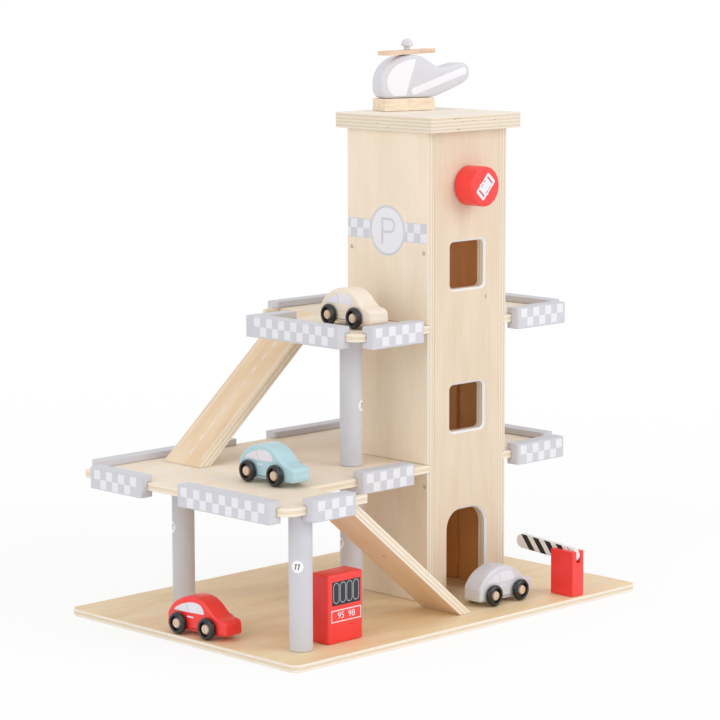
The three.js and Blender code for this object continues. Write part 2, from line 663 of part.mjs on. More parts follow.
function helicopter() {
  const blockBoard = board(rectangle(0, BLOCK.length, 0, BLOCK.width, 0), BLOCK.height);
  const block = part("helicopter_block", blockBoard, COLOUR.ply, ROUGHNESS.bare);
  at(block, -BLOCK.length / 2, -BLOCK.width / 2, FIT);
  const shares = [...HELI_BOTTOM_SHARES, ...HELI_TAIL_SHARES, ...HELI_BACK_SHARES];
  shares.push(...HELI_TOP_SHARES, ...HELI_NOSE_SHARES);
  const outline = silhouette(shares, HELI.length, HELI.height);
  const mastX = HELI.length * MAST_SHARE;
  const top = HELI.height;
  const hull = upright(easedBoard(outline, HELI.width, HELI.edge, EASE_STEPS), HELI.width);
  const bore = rodZ(MAST.diameter + 2 * GLUE, top - MAST.depth, top + OVERRUN, PIN_ROUND);
  const holed = cut(hull, [bore.translate(mastX, HELI.width / 2, 0)]);
  const body = part("helicopter_body", holed, COLOUR.pale, ROUGHNESS.paint);
  const seat = FIT + BLOCK.height + GLUE;
  at(body, -HELI.nose, -HELI.width / 2, seat);
  const blade = rectangle(-ROTOR.length / 2, ROTOR.length / 2, -ROTOR.width / 2, ROTOR.width / 2, 0);
  blade.holes.push(roundHole(0, 0, MAST.diameter / 2 + FIT));
  const rotor = part("helicopter_rotor", board(blade, ROTOR.thickness), COLOUR.ply, ROUGHNESS.bare);
  rotor.rotation.z = THREE.MathUtils.degToRad(ROTOR.yaw);
  const rotorZ = seat + top + FIT;
  at(rotor, mastX - HELI.nose, 0, rotorZ);
  const neckBottom = rotorZ + ROTOR.thickness + FIT;
  const capBottom = neckBottom + MAST.neckHeight;
  const pinBottom = seat + top - MAST.depth + GLUE;
  const capRadius = MAST.cap / 2;
  const mastProfile = [
    [0, pinBottom],
    [MAST.diameter / 2, pinBottom],
    [MAST.diameter / 2, neckBottom],
    [MAST.neck / 2, neckBottom],
    [MAST.neck / 2, capBottom],
  ];
  for (let i = 0; i <= DOME_STEPS; i += 1) {
    const angle = (i / DOME_STEPS) * (Math.PI / 2);
    const z = capBottom + MAST.capHeight * Math.sin(angle);
    mastProfile.push([i < DOME_STEPS ? capRadius * Math.cos(angle) : 0, z]);
  }
  const turnedMast = turned(mastProfile, WHEEL_ROUND).rotateX(Math.PI / 2);
  const mast = part("helicopter_mast", turnedMast, COLOUR.pale, ROUGHNESS.paint);
  at(mast, mastX - HELI.nose, 0, 0);
  const result = group(block, body, rotor, mast);
  result.rotation.z = THREE.MathUtils.degToRad(BLOCK.yaw);
  return at(result, towerMiddleX + BLOCK.x, towerFront + BLOCK.y, roofTop);
}

// Two wheels on one axle, turned round the Y axis; the profile runs from one hub to the other
function wheelsetGeometry() {
  const inner = CAR.width / 2 + FIT;
  const outer = inner + WHEEL.width;
  const rim = WHEEL.diameter / 2;
  const hub = WHEEL.hub / 2;
  const dish = WHEEL.dish / 2;
  const side = [
    [AXLE.diameter / 2, inner],
    [rim - WHEEL.edge, inner],
    [rim, inner + WHEEL.edge],
    [rim, outer - WHEEL.edge],
    [rim - WHEEL.edge, outer],
    [dish, outer],
    [hub, outer - WHEEL.dishDepth],
    [hub, outer],
    [0, outer],
  ];
  const mirrored = side.map(([r, y]) => [r, -y]).reverse();
  return turned([...mirrored, ...side], WHEEL_ROUND);
}

// Car facing +X, its wheels on Z zero and its middle between the axles at X zero
function car(name, colour) {
  const shares = [...CAR_BACK_SHARES, ...CAR_ROOF_SHARES, ...CAR_HOOD_SHARES, [1, 0], [0, 0]];
  const outline = silhouette(shares, CAR.length, CAR.height);
  const middle = CAR.rear + CAR.base / 2;
  const block = upright(easedBoard(outline, CAR.width, CAR.edge, EASE_STEPS), CAR.width);
  block.translate(-middle, -CAR.width / 2, CAR.ground);
  const radius = WHEEL.diameter / 2;
  const axles = { rear: -CAR.base / 2, front: CAR.base / 2 };
  const bores = Object.values(axles).map((x) => {
    const wide = CAR.width / 2 + OVERRUN;
    return rodY(AXLE.diameter + 2 * FIT, -wide, wide, PIN_ROUND).translate(x, 0, radius);
  });
  const body = part(`${name}_body`, cut(block, bores), colour, ROUGHNESS.gloss);
  const result = group(body);
  for (const [end, x] of Object.entries(axles)) {
    const wheels = part(`${name}_${end}_wheels`, wheelsetGeometry(), COLOUR.black, ROUGHNESS.wheel);
    result.add(at(wheels, x, 0, radius));
  }
  return result;
}

function cars() {
  const towardFront = -Math.PI / 2;
  const red = at(car("red_car", CAR_COLOUR.red), RED_CAR.x, RED_CAR.y, groundTop + GLUE);
  const blueX = FIRST.notch - BLUE_CAR.x;
  const blue = at(car("blue_car", CAR_COLOUR.blue), blueX, towerFront + BLUE_CAR.y, firstTop + GLUE);
  const woodX = secondLeft + WOOD_CAR.x;
  const wood = at(car("wood_car", CAR_COLOUR.wood), woodX, towerFront + WOOD_CAR.y, secondTop + GLUE);
  const greyX = TOWER.left + GREY_CAR.x;
  const grey = at(car("grey_car", CAR_COLOUR.grey), greyX, lowerRampFront + GREY_CAR.y, groundTop + GLUE);
  red.rotation.z = towardFront + THREE.MathUtils.degToRad(RED_CAR.turn);
  blue.rotation.z = towardFront;
  wood.rotation.z = towardFront + THREE.MathUtils.degToRad(WOOD_CAR.turn);
  return group(red, blue, wood, grey);
}

const garage = group(
  baseBoard(),
  tower(),
  roof(),
  firstDeck(),
  secondDeck(),
  firstRails(),
  secondRails(),
  pillars(),
  ramps(),
  liftDrive(),
  liftCage(),
  fuelPump(),
  barrier(),
  helicopter(),
  cars(),
);

// The model's origin is the middle of the base board's underside
export default group(at(garage, -BASE.length / 2, -baseWidth / 2, 0));
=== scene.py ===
# Looks of the toy parking garage: plywood, paints, prints, cars, helicopter and the lift's cord,
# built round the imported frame. Meshes are in metres; lengths named here are in millimetres,
# measured from the near left corner of the base board as in the part's source.
import math

import bpy
from mathutils import Matrix, Vector

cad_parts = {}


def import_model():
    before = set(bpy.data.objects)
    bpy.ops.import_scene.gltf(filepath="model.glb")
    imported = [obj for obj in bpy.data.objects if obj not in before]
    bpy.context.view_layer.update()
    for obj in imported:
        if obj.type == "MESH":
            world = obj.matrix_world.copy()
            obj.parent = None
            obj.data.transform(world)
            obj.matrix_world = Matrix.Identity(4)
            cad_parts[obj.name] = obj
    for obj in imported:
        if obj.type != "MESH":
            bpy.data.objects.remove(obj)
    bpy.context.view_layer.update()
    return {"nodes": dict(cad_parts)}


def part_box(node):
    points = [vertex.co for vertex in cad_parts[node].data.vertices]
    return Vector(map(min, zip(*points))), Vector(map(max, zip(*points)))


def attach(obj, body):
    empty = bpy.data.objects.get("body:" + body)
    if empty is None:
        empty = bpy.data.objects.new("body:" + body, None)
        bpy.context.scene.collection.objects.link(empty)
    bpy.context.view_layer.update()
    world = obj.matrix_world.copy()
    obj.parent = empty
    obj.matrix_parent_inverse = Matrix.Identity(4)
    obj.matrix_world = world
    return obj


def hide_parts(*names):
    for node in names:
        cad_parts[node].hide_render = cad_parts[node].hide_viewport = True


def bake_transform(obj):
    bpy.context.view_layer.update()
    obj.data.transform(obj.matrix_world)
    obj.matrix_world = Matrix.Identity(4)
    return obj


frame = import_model()
nodes = frame["nodes"]
bpy.ops.object.select_all(action="DESELECT")

MM = 0.001
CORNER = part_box("base_board")[0]
X, Y, Z = Vector((1, 0, 0)), Vector((0, 1, 0)), Vector((0, 0, 1))
shift = Matrix.Translation


def spot(x, y, z):
    """A point in metres in the row frame, from millimetres off the board's near left corner."""
    return CORNER + Vector((x, y, z)) * MM


def low(node):
    return (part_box(node)[0] - CORNER) / MM


def high(node):
    return (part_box(node)[1] - CORNER) / MM


def size_of(node):
    return high(node) - low(node)


def foot_of(node):
    """The middle of the underside of a node, in metres in the row frame."""
    a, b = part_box(node)
    return Vector(((a.x + b.x) / 2, (a.y + b.y) / 2, a.z))


# Camera

EYE = spot(-1630.3, -1736.6, 624.1)
AZIMUTH, ELEVATION, ROLL = (math.radians(angle) for angle in (-44.237, 8.534, -0.146))
LENS, SHIFT_X, SHIFT_Y = 143.492, 0.0194, 0.0069


def add_camera():
    back = Vector((math.sin(AZIMUTH) * math.cos(ELEVATION), -math.cos(AZIMUTH) * math.cos(ELEVATION),
                   math.sin(ELEVATION)))
    right = Vector((math.cos(AZIMUTH), math.sin(AZIMUTH), 0))
    up = back.cross(right)
    turn = Matrix((right, up, back)).transposed() @ Matrix.Rotation(ROLL, 3, "Z")
    data = bpy.data.cameras.new("camera")
    data.lens, data.shift_x, data.shift_y = LENS, SHIFT_X, SHIFT_Y
    data.clip_start, data.clip_end = 0.05, 400
    camera = bpy.data.objects.new("camera", data)
    camera.matrix_world = shift(EYE) @ turn.to_4x4()
    bpy.context.scene.collection.objects.link(camera)
    bpy.context.scene.camera = camera


add_camera()


# Finishes

def srgb(code):
    """Linear colour of a hexadecimal one."""
    shares = [((code >> bits) & 255) / 255 for bits in (16, 8, 0)]
    return (*[c / 12.92 if c <= 0.04045 else ((c + 0.055) / 1.055) ** 2.4 for c in shares], 1)


def operator(operation):
    """Python operator that adds a Math node."""
    return lambda signal, other: signal.math(operation, signal, other)


def from_left(operation):
    """The same operator with the plain number on its left."""
    return lambda signal, other: signal.math(operation, other, signal)


class Signal:
    """One number of a finish. Arithmetic on it adds Math nodes."""

    __add__, __radd__ = operator("ADD"), from_left("ADD")
    __sub__, __rsub__ = operator("SUBTRACT"), from_left("SUBTRACT")
    __mul__, __rmul__ = operator("MULTIPLY"), from_left("MULTIPLY")
    __truediv__ = operator("DIVIDE")
    __lt__, __gt__ = operator("LESS_THAN"), operator("GREATER_THAN")
    __and__, __or__ = operator("MULTIPLY"), operator("MAXIMUM")

    def __init__(self, finish, socket):
        self.finish = finish
        self.socket = socket

    def math(self, operation, *values):
        node = self.finish.node("ShaderNodeMath", {"operation": operation}, dict(enumerate(values)))
        return Signal(self.finish, node.outputs[0])

    def __abs__(self):
        return self.math("ABSOLUTE", self)

    def floor(self):
        return self.math("FLOOR", self)

    def wrap(self, length):
        return self.math("FLOORED_MODULO", self, length)

    def clamp(self):
        return self.math("MINIMUM", self.math("MAXIMUM", self, 0), 1)

    def root(self):
        return self.math("SQRT", self)

    def between(self, start, end):
        return (self > start) & (self < end)


def add_node(tree, kind, settings={}, inputs={}):
    """Adds a node, with its settings first and then the values or links of its sockets."""
    node = tree.nodes.new(kind)
    for setting, value in settings.items():
        if setting == "stops":
            for _ in value[2:]:
                node.color_ramp.elements.new(0.5)
            for element, (position, colour) in zip(node.color_ramp.elements, value):
                element.position, element.color = position, colour
        else:
            setattr(node, setting, value)
    for socket, value in inputs.items():
        link = value.socket if isinstance(value, Signal) else value
        if isinstance(link, bpy.types.NodeSocket):
            tree.links.new(link, node.inputs[socket])
        else:
            node.inputs[socket].default_value = value
    return node


class Finish:
    """A material of the object, read in object coordinates."""

    def __init__(self, name, roughness=0.5, **sockets):
        self.material = bpy.data.materials.new(name)
        self.material.use_nodes = True
        self.tree = self.material.node_tree
        self.shader = self.tree.nodes["Principled BSDF"]
        self.shader.inputs["Roughness"].default_value = roughness
        for socket, value in sockets.items():
            self.shader.inputs[socket.replace("_", " ")].default_value = value
        coordinates = self.node("ShaderNodeTexCoord")
        self.place = coordinates.outputs["Object"]
        self.normal = coordinates.outputs["Normal"]

    def node(self, kind, settings={}, inputs={}):
        return add_node(self.tree, kind, settings, inputs)

    def dot(self, vector, direction):
        node = self.node("ShaderNodeVectorMath", {"operation": "DOT_PRODUCT"},
                         {0: vector, 1: direction})
        return Signal(self, node.outputs["Value"])

    def along(self, direction, start=0):
        """Millimetres along a direction, counted from the corner of the base board."""
        offset = CORNER.dot(direction) / MM + start
        return self.dot(self.place, direction) / MM - offset

    def axes(self):
        return self.along(X), self.along(Y), self.along(Z)

    def facing(self, direction):
        return self.dot(self.normal, direction)

    def noise(self, x, y, z, detail=3, roughness=0.5):
        vector = self.node("ShaderNodeCombineXYZ", {}, {0: x, 1: y, 2: z}).outputs[0]
        inputs = {"Vector": vector, "Scale": 1, "Detail": detail, "Roughness": roughness}
        return Signal(self, self.node("ShaderNodeTexNoise", {}, inputs).outputs["Fac"])

    def mix(self, share, first, second):
        inputs = {0: share, 6: first, 7: second}
        return self.node("ShaderNodeMix", {"data_type": "RGBA"}, inputs).outputs[2]

    def ramp(self, value, stops):
        return self.node("ShaderNodeValToRGB", {"stops": stops}, {0: value}).outputs[0]

    def set(self, socket, value):
        link = value.socket if isinstance(value, Signal) else value
        self.tree.links.new(link, self.shader.inputs[socket])

    def bump(self, height, distance, strength=1.0):
        inputs = {"Height": height, "Distance": distance * MM, "Strength": strength}
        self.set("Normal", self.node("ShaderNodeBump", {}, inputs).outputs[0])


def rounded_box(u, v, half_width, half_height, radius):
    """Distance to a rounded rectangle round the middle of u and v, negative inside it."""
    du = u.math("MAXIMUM", abs(u) - (half_width - radius), 0)
    dv = v.math("MAXIMUM", abs(v) - (half_height - radius), 0)
    return (du * du + dv * dv).root() - radius


def slanted(u, v, start, end, width):
    """A straight painted bar between two points of the plane."""
    dx, dy = end[0] - start[0], end[1] - start[1]
    length = math.hypot(dx, dy)
    along = ((u - start[0]) * dx + (v - start[1]) * dy) / length
    beside = ((v - start[1]) * dx - (u - start[0]) * dy) / length
    return along.between(0, length) & (abs(beside) < width / 2)


def stroke(distance, width):
    return abs(distance) < width / 2


WHITE_PRINT, GREY_PRINT = srgb(0xE8E8ED), srgb(0xCFCFD6)
LIGHT_FIBRE, DARK_FIBRE, GLUE_LINE = srgb(0xEBDCC6), srgb(0xDFC9AB), srgb(0xCDB493)
KNOT, VOID = srgb(0x9A6B42), srgb(0x5A3B22)

# Light and dark plies of an edge
CLEAN_EDGE = (0xF6EEE1, 0xEBDCC6)
DULL_EDGE = (0xE9E0D1, 0xDECFB9)
DECK_EDGE = (0xF5ECDA, 0xEFE2CC)

# Dark, middle and light tones of a face
TONE_STOPS = (0.34, 0.5, 0.66)
PALE_FACE = (0xEAD8C0, 0xF0E0CA, 0xF4E7D5)
WARM_FACE = (0xE2C29C, 0xEBD0AE, 0xF2DCC0)
FRONT_FACE = (0xDDC7AC, 0xE3D0B8, 0xE8D8C3)
# Painted shade: deeper orange tones that stand in for the shaded, warmly lit inside of the tower
INSIDE_SHADE_FACE = (0xE2A662, 0xEAB26C, 0xF0BC7C)
BASE_FACE = (0xE6C99E, 0xF1D8AE, 0xF7E4C2)
LID_FACE = (0xECDFCE, 0xF3E9DC, 0xF9F2E9)

# Where the grooves inside the tower begin and end along y; their walls get the painted shade tone
SHADED_GROOVES = (90, 179)


def toned(finish, shade, tones):
    """Veneer colour for a shade from 0 to 1."""
    return finish.ramp(shade, [(stop, srgb(tone)) for stop, tone in zip(TONE_STOPS, tones)])


def plywood(name, up, grain, start, thickness, plies=5, marks=None, tones=PALE_FACE, voids=0.0, knots=(),
            edges=CLEAN_EDGE, inside=None):
    """Birch plywood: veneer on its faces and stacked plies on its edges. up is its thickness,
    inside the side that faces into the tower. Faces turned inside and the walls of the grooves
    get a deeper orange tone, painted shade of the tower's inside. The figure changes over the
    lengths that divide run, side and depth."""
    finish = Finish(name, 0.5)
    across = up.cross(grain)
    depth = finish.along(up, start)
    run = finish.along(grain)
    side = finish.along(across)
    cloud = finish.noise(run / 120, side / 30, depth / 200, 4, 0.55)
    figure = finish.noise(run / 60, side / 4 + cloud * 3, depth / 200, 3, 0.6)
    fleck = finish.noise(run / 9, side / 0.55, depth / 40, 2, 0.5)
    finish.bump(fleck * 0.5 + figure * 0.5, 0.05, 0.5)
    shade = cloud * 0.64 + figure * 0.28 + fleck * 0.08
    face = toned(finish, shade, tones)
    for along, beside, size in knots:
        u, v = (run - along) / 1.5, side - beside
        reach = (u * u + v * v).root() + figure * 2 - 1
        face = finish.mix((1 - reach / size).clamp() * 0.7, face, KNOT)
    if marks:
        wear = finish.noise(run / 3, side / 3, 0, 4, 0.7)
        face = finish.mix(marks(finish) * (0.55 + 0.5 * wear), face, WHITE_PRINT)
    if not plies:
        finish.set("Base Color", face)
        return finish
    ply = depth / (thickness / plies)
    odd = ply.floor().wrap(2) > 0.5
    seam = abs(ply.wrap(1) - 0.5) > 0.45
    fibre = finish.noise(run / 22, side / 22, depth / 0.35, 3, 0.6)
    light = finish.ramp(fibre, [(0.2, LIGHT_FIBRE), (0.6, srgb(edges[0]))])
    dark = finish.ramp(fibre, [(0.3, DARK_FIBRE), (0.65, srgb(edges[1]))])
    edge = finish.mix(odd, light, dark)
    edge = finish.mix(seam * 0.4, edge, GLUE_LINE)
    if voids:
        gap = finish.noise(run / 12, side / 12, depth / 1.4, 1, 0.4) > 1 - voids
        edge = finish.mix(gap & odd, edge, VOID)
    on_edge = abs(finish.facing(up)) < 0.6
    colour = finish.mix(on_edge, face, edge)
    # Painted shade: faces turned into the tower and the groove walls take the inside shade tone
    if inside:
        groove = (abs(finish.facing(Y)) > 0.7) & finish.along(Y).between(*SHADED_GROOVES) & abs(inside.x)
        painted_shade = (finish.facing(inside) > 0.7) | groove
        colour = finish.mix(painted_shade, colour, toned(finish, shade, INSIDE_SHADE_FACE))
    finish.set("Base Color", colour)
    finish.set("Roughness", 0.44 + fleck * 0.16 + on_edge * 0.14)
    return finish


def solid_wood(name, grain, light, dark):
    """Planed beech or birch with fine pores along its grain."""
    finish = Finish(name, 0.5)
    across = grain.cross(Z) if abs(grain.z) < 0.9 else grain.cross(X)
    third = grain.cross(across)
    run, side, rise = finish.along(grain), finish.along(across), finish.along(third)
    growth = finish.noise(run / 30, side / 3.2, rise / 3.2, 3, 0.55)
    pores = finish.noise(run / 3.5, side / 0.3, rise / 0.3, 2, 0.5)
    colour = finish.ramp(growth * 0.65 + pores * 0.35, [(0.36, srgb(dark)), (0.62, srgb(light))])
    finish.set("Base Color", colour)
    finish.set("Roughness", 0.42 + pores * 0.2)
    finish.bump(pores, 0.05, 0.4)
    return finish


def paint(name, colour, roughness, coat=0.0):
    """Sprayed paint on wood: slight unevenness in colour and a faint orange-peel bump."""
    finish = Finish(name, roughness, Coat_Weight=coat, Coat_Roughness=0.2)
    x, y, z = finish.axes()
    cloud = finish.noise(x / 14, y / 14, z / 14)
    peel = finish.noise(x / 0.9, y / 0.9, z / 0.9, 2, 0.5)
    deep = tuple(c * 0.9 for c in colour[:3]) + (1,)
    finish.colour = finish.mix(cloud, deep, colour)
    finish.set("Base Color", finish.colour)
    finish.set("Roughness", roughness - 0.06 + cloud * 0.12)
    finish.bump(peel * 0.7 + cloud * 0.3, 0.03, 0.35)
    return finish


def printed(finish, mask, ink):
    finish.colour = finish.mix(mask, finish.colour, ink)
    finish.set("Base Color", finish.colour)
    return finish


GREY, PALE_GREY = srgb(0xD3D3DA), srgb(0xDAD9E0)
RED, BLUE = srgb(0xFC3A36), srgb(0xB6D9E2)

grey_paint = paint("grey_paint", GREY, 0.5)
pale_grey_paint = paint("pale_grey_paint", PALE_GREY, 0.38, coat=0.2)
red_paint = paint("red_paint", RED, 0.38, coat=0.25)
blue_paint = paint("blue_paint", BLUE, 0.34, coat=0.4)
white_paint = paint("white_rim_paint", srgb(0xF8F7F6), 0.5)
print_white = paint("white_print", srgb(0xF4F2F6), 0.45)
tyre_black = paint("wheel_black", srgb(0x08080A), 0.24, coat=0.3)
bare_wood = solid_wood("bare_wood", X, 0xF0DFCB, 0xE0C9AE)
block_wood = solid_wood("block_wood", X, 0xF6E6D0, 0xE6CDAE)
car_wood = solid_wood("car_wood", Y, 0xF2E6D7, 0xE9D8C5)
hub_wood = solid_wood("hub_wood", Z, 0xE6D0BC, 0xC9AA8E)
rotor_wood = solid_wood("rotor_wood", X, 0xECD0B6, 0xDDB898)


def dress(piece, *finishes):
    piece.data.materials.clear()
    for finish in finishes:
        piece.data.materials.append(finish.material)


def adjust(target, **settings):
    for setting, value in settings.items():
        setattr(target, setting, value)
    return target


def add_modifier(piece, kind, **settings):
    return adjust(piece.modifiers.new(kind.lower(), kind), **settings)


def keep(node, finish, edge=0.5):
    """Shows a CAD piece with its finish, and softens its square edges without touching its mesh."""
    piece = nodes[node]
    dress(piece, finish)
    add_modifier(piece, "WELD", merge_threshold=0.01 * MM)
    add_modifier(piece, "DECIMATE", decimate_type="DISSOLVE", angle_limit=math.radians(0.5))
    add_modifier(piece, "BEVEL", width=edge * MM, segments=2, limit_method="ANGLE",
                 angle_limit=math.radians(40))
    add_modifier(piece, "WEIGHTED_NORMAL", keep_sharp=False, weight=100)


# Modelling helpers

def select_only(*pieces):
    bpy.ops.object.select_all(action="DESELECT")
    for piece in pieces:
        piece.select_set(True)
    bpy.context.view_layer.objects.active = pieces[0]


def select_edges(mesh, wanted):
    """Selects in edit mode the edges for which wanted(first corner, second corner) holds."""
    bpy.ops.object.mode_set(mode="OBJECT")
    for element in (*mesh.polygons, *mesh.vertices):
        element.select = False
    for edge in mesh.edges:
        ends = [mesh.vertices[i] for i in edge.vertices]
        edge.select = wanted(*(end.co for end in ends))
        for end in ends:
            end.select = end.select or edge.select
    bpy.ops.object.mode_set(mode="EDIT")
    bpy.ops.mesh.select_mode(type="EDGE")


def place(piece, matrix):
    """Puts a finished mesh at its place in the row frame, with its object at the origin."""
    piece.data.transform(matrix)
    piece.matrix_world = Matrix.Identity(4)
    return piece


def finish_piece(piece, name, body, finishes, replaces=()):
    piece.name = name
    dress(piece, *finishes)
    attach(piece, body)
    if replaces:
        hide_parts(*replaces)
    bpy.ops.object.select_all(action="DESELECT")


def smooth(piece, angle=35):
    select_only(piece)
    bpy.ops.object.shade_smooth_by_angle(angle=math.radians(angle))


def apply_modifier(piece, kind, **settings):
    modifier = add_modifier(piece, kind, **settings)
    bpy.context.view_layer.objects.active = piece
    bpy.ops.object.modifier_apply(modifier=modifier.name)


def cut(piece, cutter):
    """Takes the cutter's volume out of the piece and removes the cutter."""
    apply_modifier(piece, "BOOLEAN", operation="DIFFERENCE", object=cutter, solver="EXACT")
    bpy.data.objects.remove(cutter)


def block(size, edge):
    """A block on the origin's plane with rounded edges, its middle over the origin."""
    bpy.ops.mesh.primitive_cube_add(size=1, location=(0, 0, 0.5))
    piece = bpy.context.object
    place(piece, Matrix.Diagonal((*size * MM, 1)) @ piece.matrix_world)
    apply_modifier(piece, "BEVEL", width=edge * MM, segments=4, limit_method="NONE")
    smooth(piece)
    return piece


def slab(points, thickness, edge, segments=3, curved=True):
    """A flat outline in X and Y, cut from a board of that thickness, with rounded edges.
    Its middle plane is at Z zero."""
    bpy.ops.curve.primitive_bezier_circle_add()
    piece = bpy.context.object
    spline = piece.data.splines[0]
    spline.bezier_points.add(len(points) - len(spline.bezier_points))
    kind = "AUTO" if curved else "VECTOR"
    for point, (x, y) in zip(spline.bezier_points, points):
        point.co = (x * MM, y * MM, 0)
        point.handle_left_type = point.handle_right_type = kind
    adjust(piece.data, dimensions="2D", fill_mode="BOTH", resolution_u=8 if curved else 1,
           extrude=(thickness / 2 - edge) * MM, bevel_depth=edge * MM, offset=-edge * MM,
           bevel_resolution=segments - 1)
    bpy.ops.object.convert(target="MESH")
    piece = bpy.context.object
    apply_modifier(piece, "WELD", merge_threshold=0.005 * MM)
    place(piece, piece.matrix_world)
    return piece


def close_mesh():
    """Turns the edited mesh's faces outwards and leaves edit mode."""
    bpy.ops.mesh.select_all(action="SELECT")
    bpy.ops.mesh.normals_make_consistent(inside=False)
    bpy.ops.object.mode_set(mode="OBJECT")


def turned(rings, faces=64, angle=40):
    """A turned piece round the Z axis through [radius, z] rings, closed at both ends."""
    radius, height = rings[0]
    bpy.ops.mesh.primitive_circle_add(vertices=faces, radius=radius * MM, fill_type="NGON",
                                      location=(0, 0, height * MM))
    piece = bpy.context.object
    place(piece, piece.matrix_world)
    bpy.ops.object.mode_set(mode="EDIT")
    bpy.ops.mesh.select_all(action="SELECT")
    for wide, level in rings[1:]:
        rise = (0, 0, (level - height) * MM)
        bpy.ops.mesh.extrude_region_move(TRANSFORM_OT_translate={"value": rise})
        bpy.ops.transform.resize(value=(wide / radius, wide / radius, 1), center_override=(0, 0, 0))
        radius, height = wide, level
    close_mesh()
    smooth(piece, angle)
    return piece


def copied(piece, matrix):
    """A copy with its own mesh, moved to its place."""
    made = piece.copy()
    made.data = piece.data.copy()
    bpy.context.scene.collection.objects.link(made)
    return place(made, matrix)


def joined(pieces):
    select_only(*pieces)
    bpy.ops.object.join()
    return bpy.context.object


def arc(centre_r, centre_z, radius, start, end, steps):
    """Points of an arc, each (r, z), between two angles in degrees."""
    angles = [math.radians(start + (end - start) * i / steps) for i in range(steps + 1)]
    return [(centre_r + radius * math.cos(a), centre_z + radius * math.sin(a)) for a in angles]


def turn_to(direction):
    """Rotation that lays the Z axis of a turned piece along a direction."""
    return Vector(direction).to_track_quat("Z", "Y").to_matrix().to_4x4()


def lettering(text, size, thickness):
    """Digits as a thin raised print, centred on the origin in X and Y."""
    bpy.ops.object.text_add()
    piece = bpy.context.object
    adjust(piece.data, body=text, align_x="CENTER", align_y="CENTER", size=size * MM,
           extrude=thickness / 2 * MM)
    bpy.ops.object.convert(target="MESH")
    piece = bpy.context.object
    place(piece, piece.matrix_world)
    return piece


# Boards

LINE = 1.1  # width of a painted road line
# Middle of two rounded frames, their half sizes and corner radius, and where they are cut off
LANE = {"x": 401, "y": 165, "box": (40, 140, 15), "left": 403}
BAY = {"x": 112, "y": 128, "box": (52, 50, 12), "near": 92, "right": 150}


def strokes(finish, lines):
    """Painted lines, each (axis, level across it, start, end) or with a dash and a period."""
    x, y = finish.along(X), finish.along(Y)
    marks = None
    for axis, level, start, end, *dashed in lines:
        run, beside = (x, y) if axis == "x" else (y, x)
        line = run.between(start, end) & (abs(beside - level) < LINE / 2)
        if dashed:
            line = line & ((run - start).wrap(dashed[1]) < dashed[0])
        marks = line if marks is None else marks | line
    return marks


def base_marks(finish):
    """Roads behind and at the right, and short bay lines between."""
    marks = strokes(finish, [
        ("x", 235, 0, 243), ("x", 290.5, 8, 243), ("x", 261, 6, 240, 9, 19),
        ("y", 116, 137, 203), ("y", 94, 137, 185), ("y", 94, 105, 125), ("y", 32, 57, 105),
        ("y", 180, 57, 100), ("y", 238, 95, 161), ("x", 26, 206, 354), ("y", 362, 33, 53),
        ("y", 412, 74, 98), ("y", 412, 110, 150), ("y", 412, 170, 230)])
    x, y = finish.along(X), finish.along(Y)
    border = rounded_box(x - LANE["x"], y - LANE["y"], *LANE["box"])
    lane = stroke(border, LINE) & (x > LANE["left"])
    return (marks | lane) & (finish.facing(Z) > 0.7)


CROSSING = [((69.5, 240), (56.6, 221)), ((82.5, 236), (61, 203)), ((99, 236), (78, 203)),
            ((116, 236), (95, 203)), ((134, 239), (111, 203)), ((151, 239), (128, 203)),
            ((168, 239), (145, 203))]


def first_deck_marks(finish):
    """A striped crossing at the foot of the upper ramp, a bay and the road's edge lines."""
    marks = strokes(finish, [
        ("x", 201, 58, 190), ("x", 242, 58, 80), ("x", 222, 190, 232), ("x", 214, 234, 262),
        ("y", 34, 40, 226, 8, 15), ("x", 262, 120, 232, 9, 19)])
    x, y = finish.along(X), finish.along(Y)
    for start, end in CROSSING:
        marks = marks | slanted(x, y, start, end, 1.5)
    road = slanted(x, y, (12, 200), (22, 171), LINE) | slanted(x, y, (22, 171), (61, 87), LINE)
    border = rounded_box(x - BAY["x"], y - BAY["y"], *BAY["box"])
    bay = stroke(border, LINE) & (y > BAY["near"]) & (x < BAY["right"])
    return (marks | road | bay) & (finish.facing(Z) > 0.7)


def second_deck_marks(finish):
    marks = strokes(finish, [("x", 206, 172, 222), ("x", 150, 160, 240, 9, 19)])
    return marks & (finish.facing(Z) > 0.7)


DECK, PANEL = 7.5, 9  # thickness of a deck and of a tower panel
base = plywood("base_plywood", Z, X, 0, high("base_board").z, 3, base_marks, BASE_FACE)
lid = plywood("roof_plywood", Z, X, low("roof_board").z, size_of("roof_board").z, 9,
              tones=LID_FACE, voids=0.27, edges=DULL_EDGE)
keep("base_board", base)
keep("roof_board", lid)
for node, name, marks in (("level1_deck", "first_deck_plywood", first_deck_marks),
                          ("level2_deck", "second_deck_plywood", second_deck_marks)):
    keep(node, plywood(name, Z, X, low(node).z, DECK, 3, marks, edges=DECK_EDGE))

# The sign printed on the left side of the tower
SIGN = {"y": 134.1, "z": 352.6, "half": (22.9, 23.6), "ring": 2.4}
BAND = {"y": (83.3, 185.9), "z": (343.6, 361.8), "column": 8.25, "border": 0.8}
LETTER = {"z": (339.6, 364.4), "stem": (139.4, 142.2), "bowl_z": 357.4, "bowl": (17.1, 6, 6),
          "bowl_y": (120, 141), "line": 2.4}


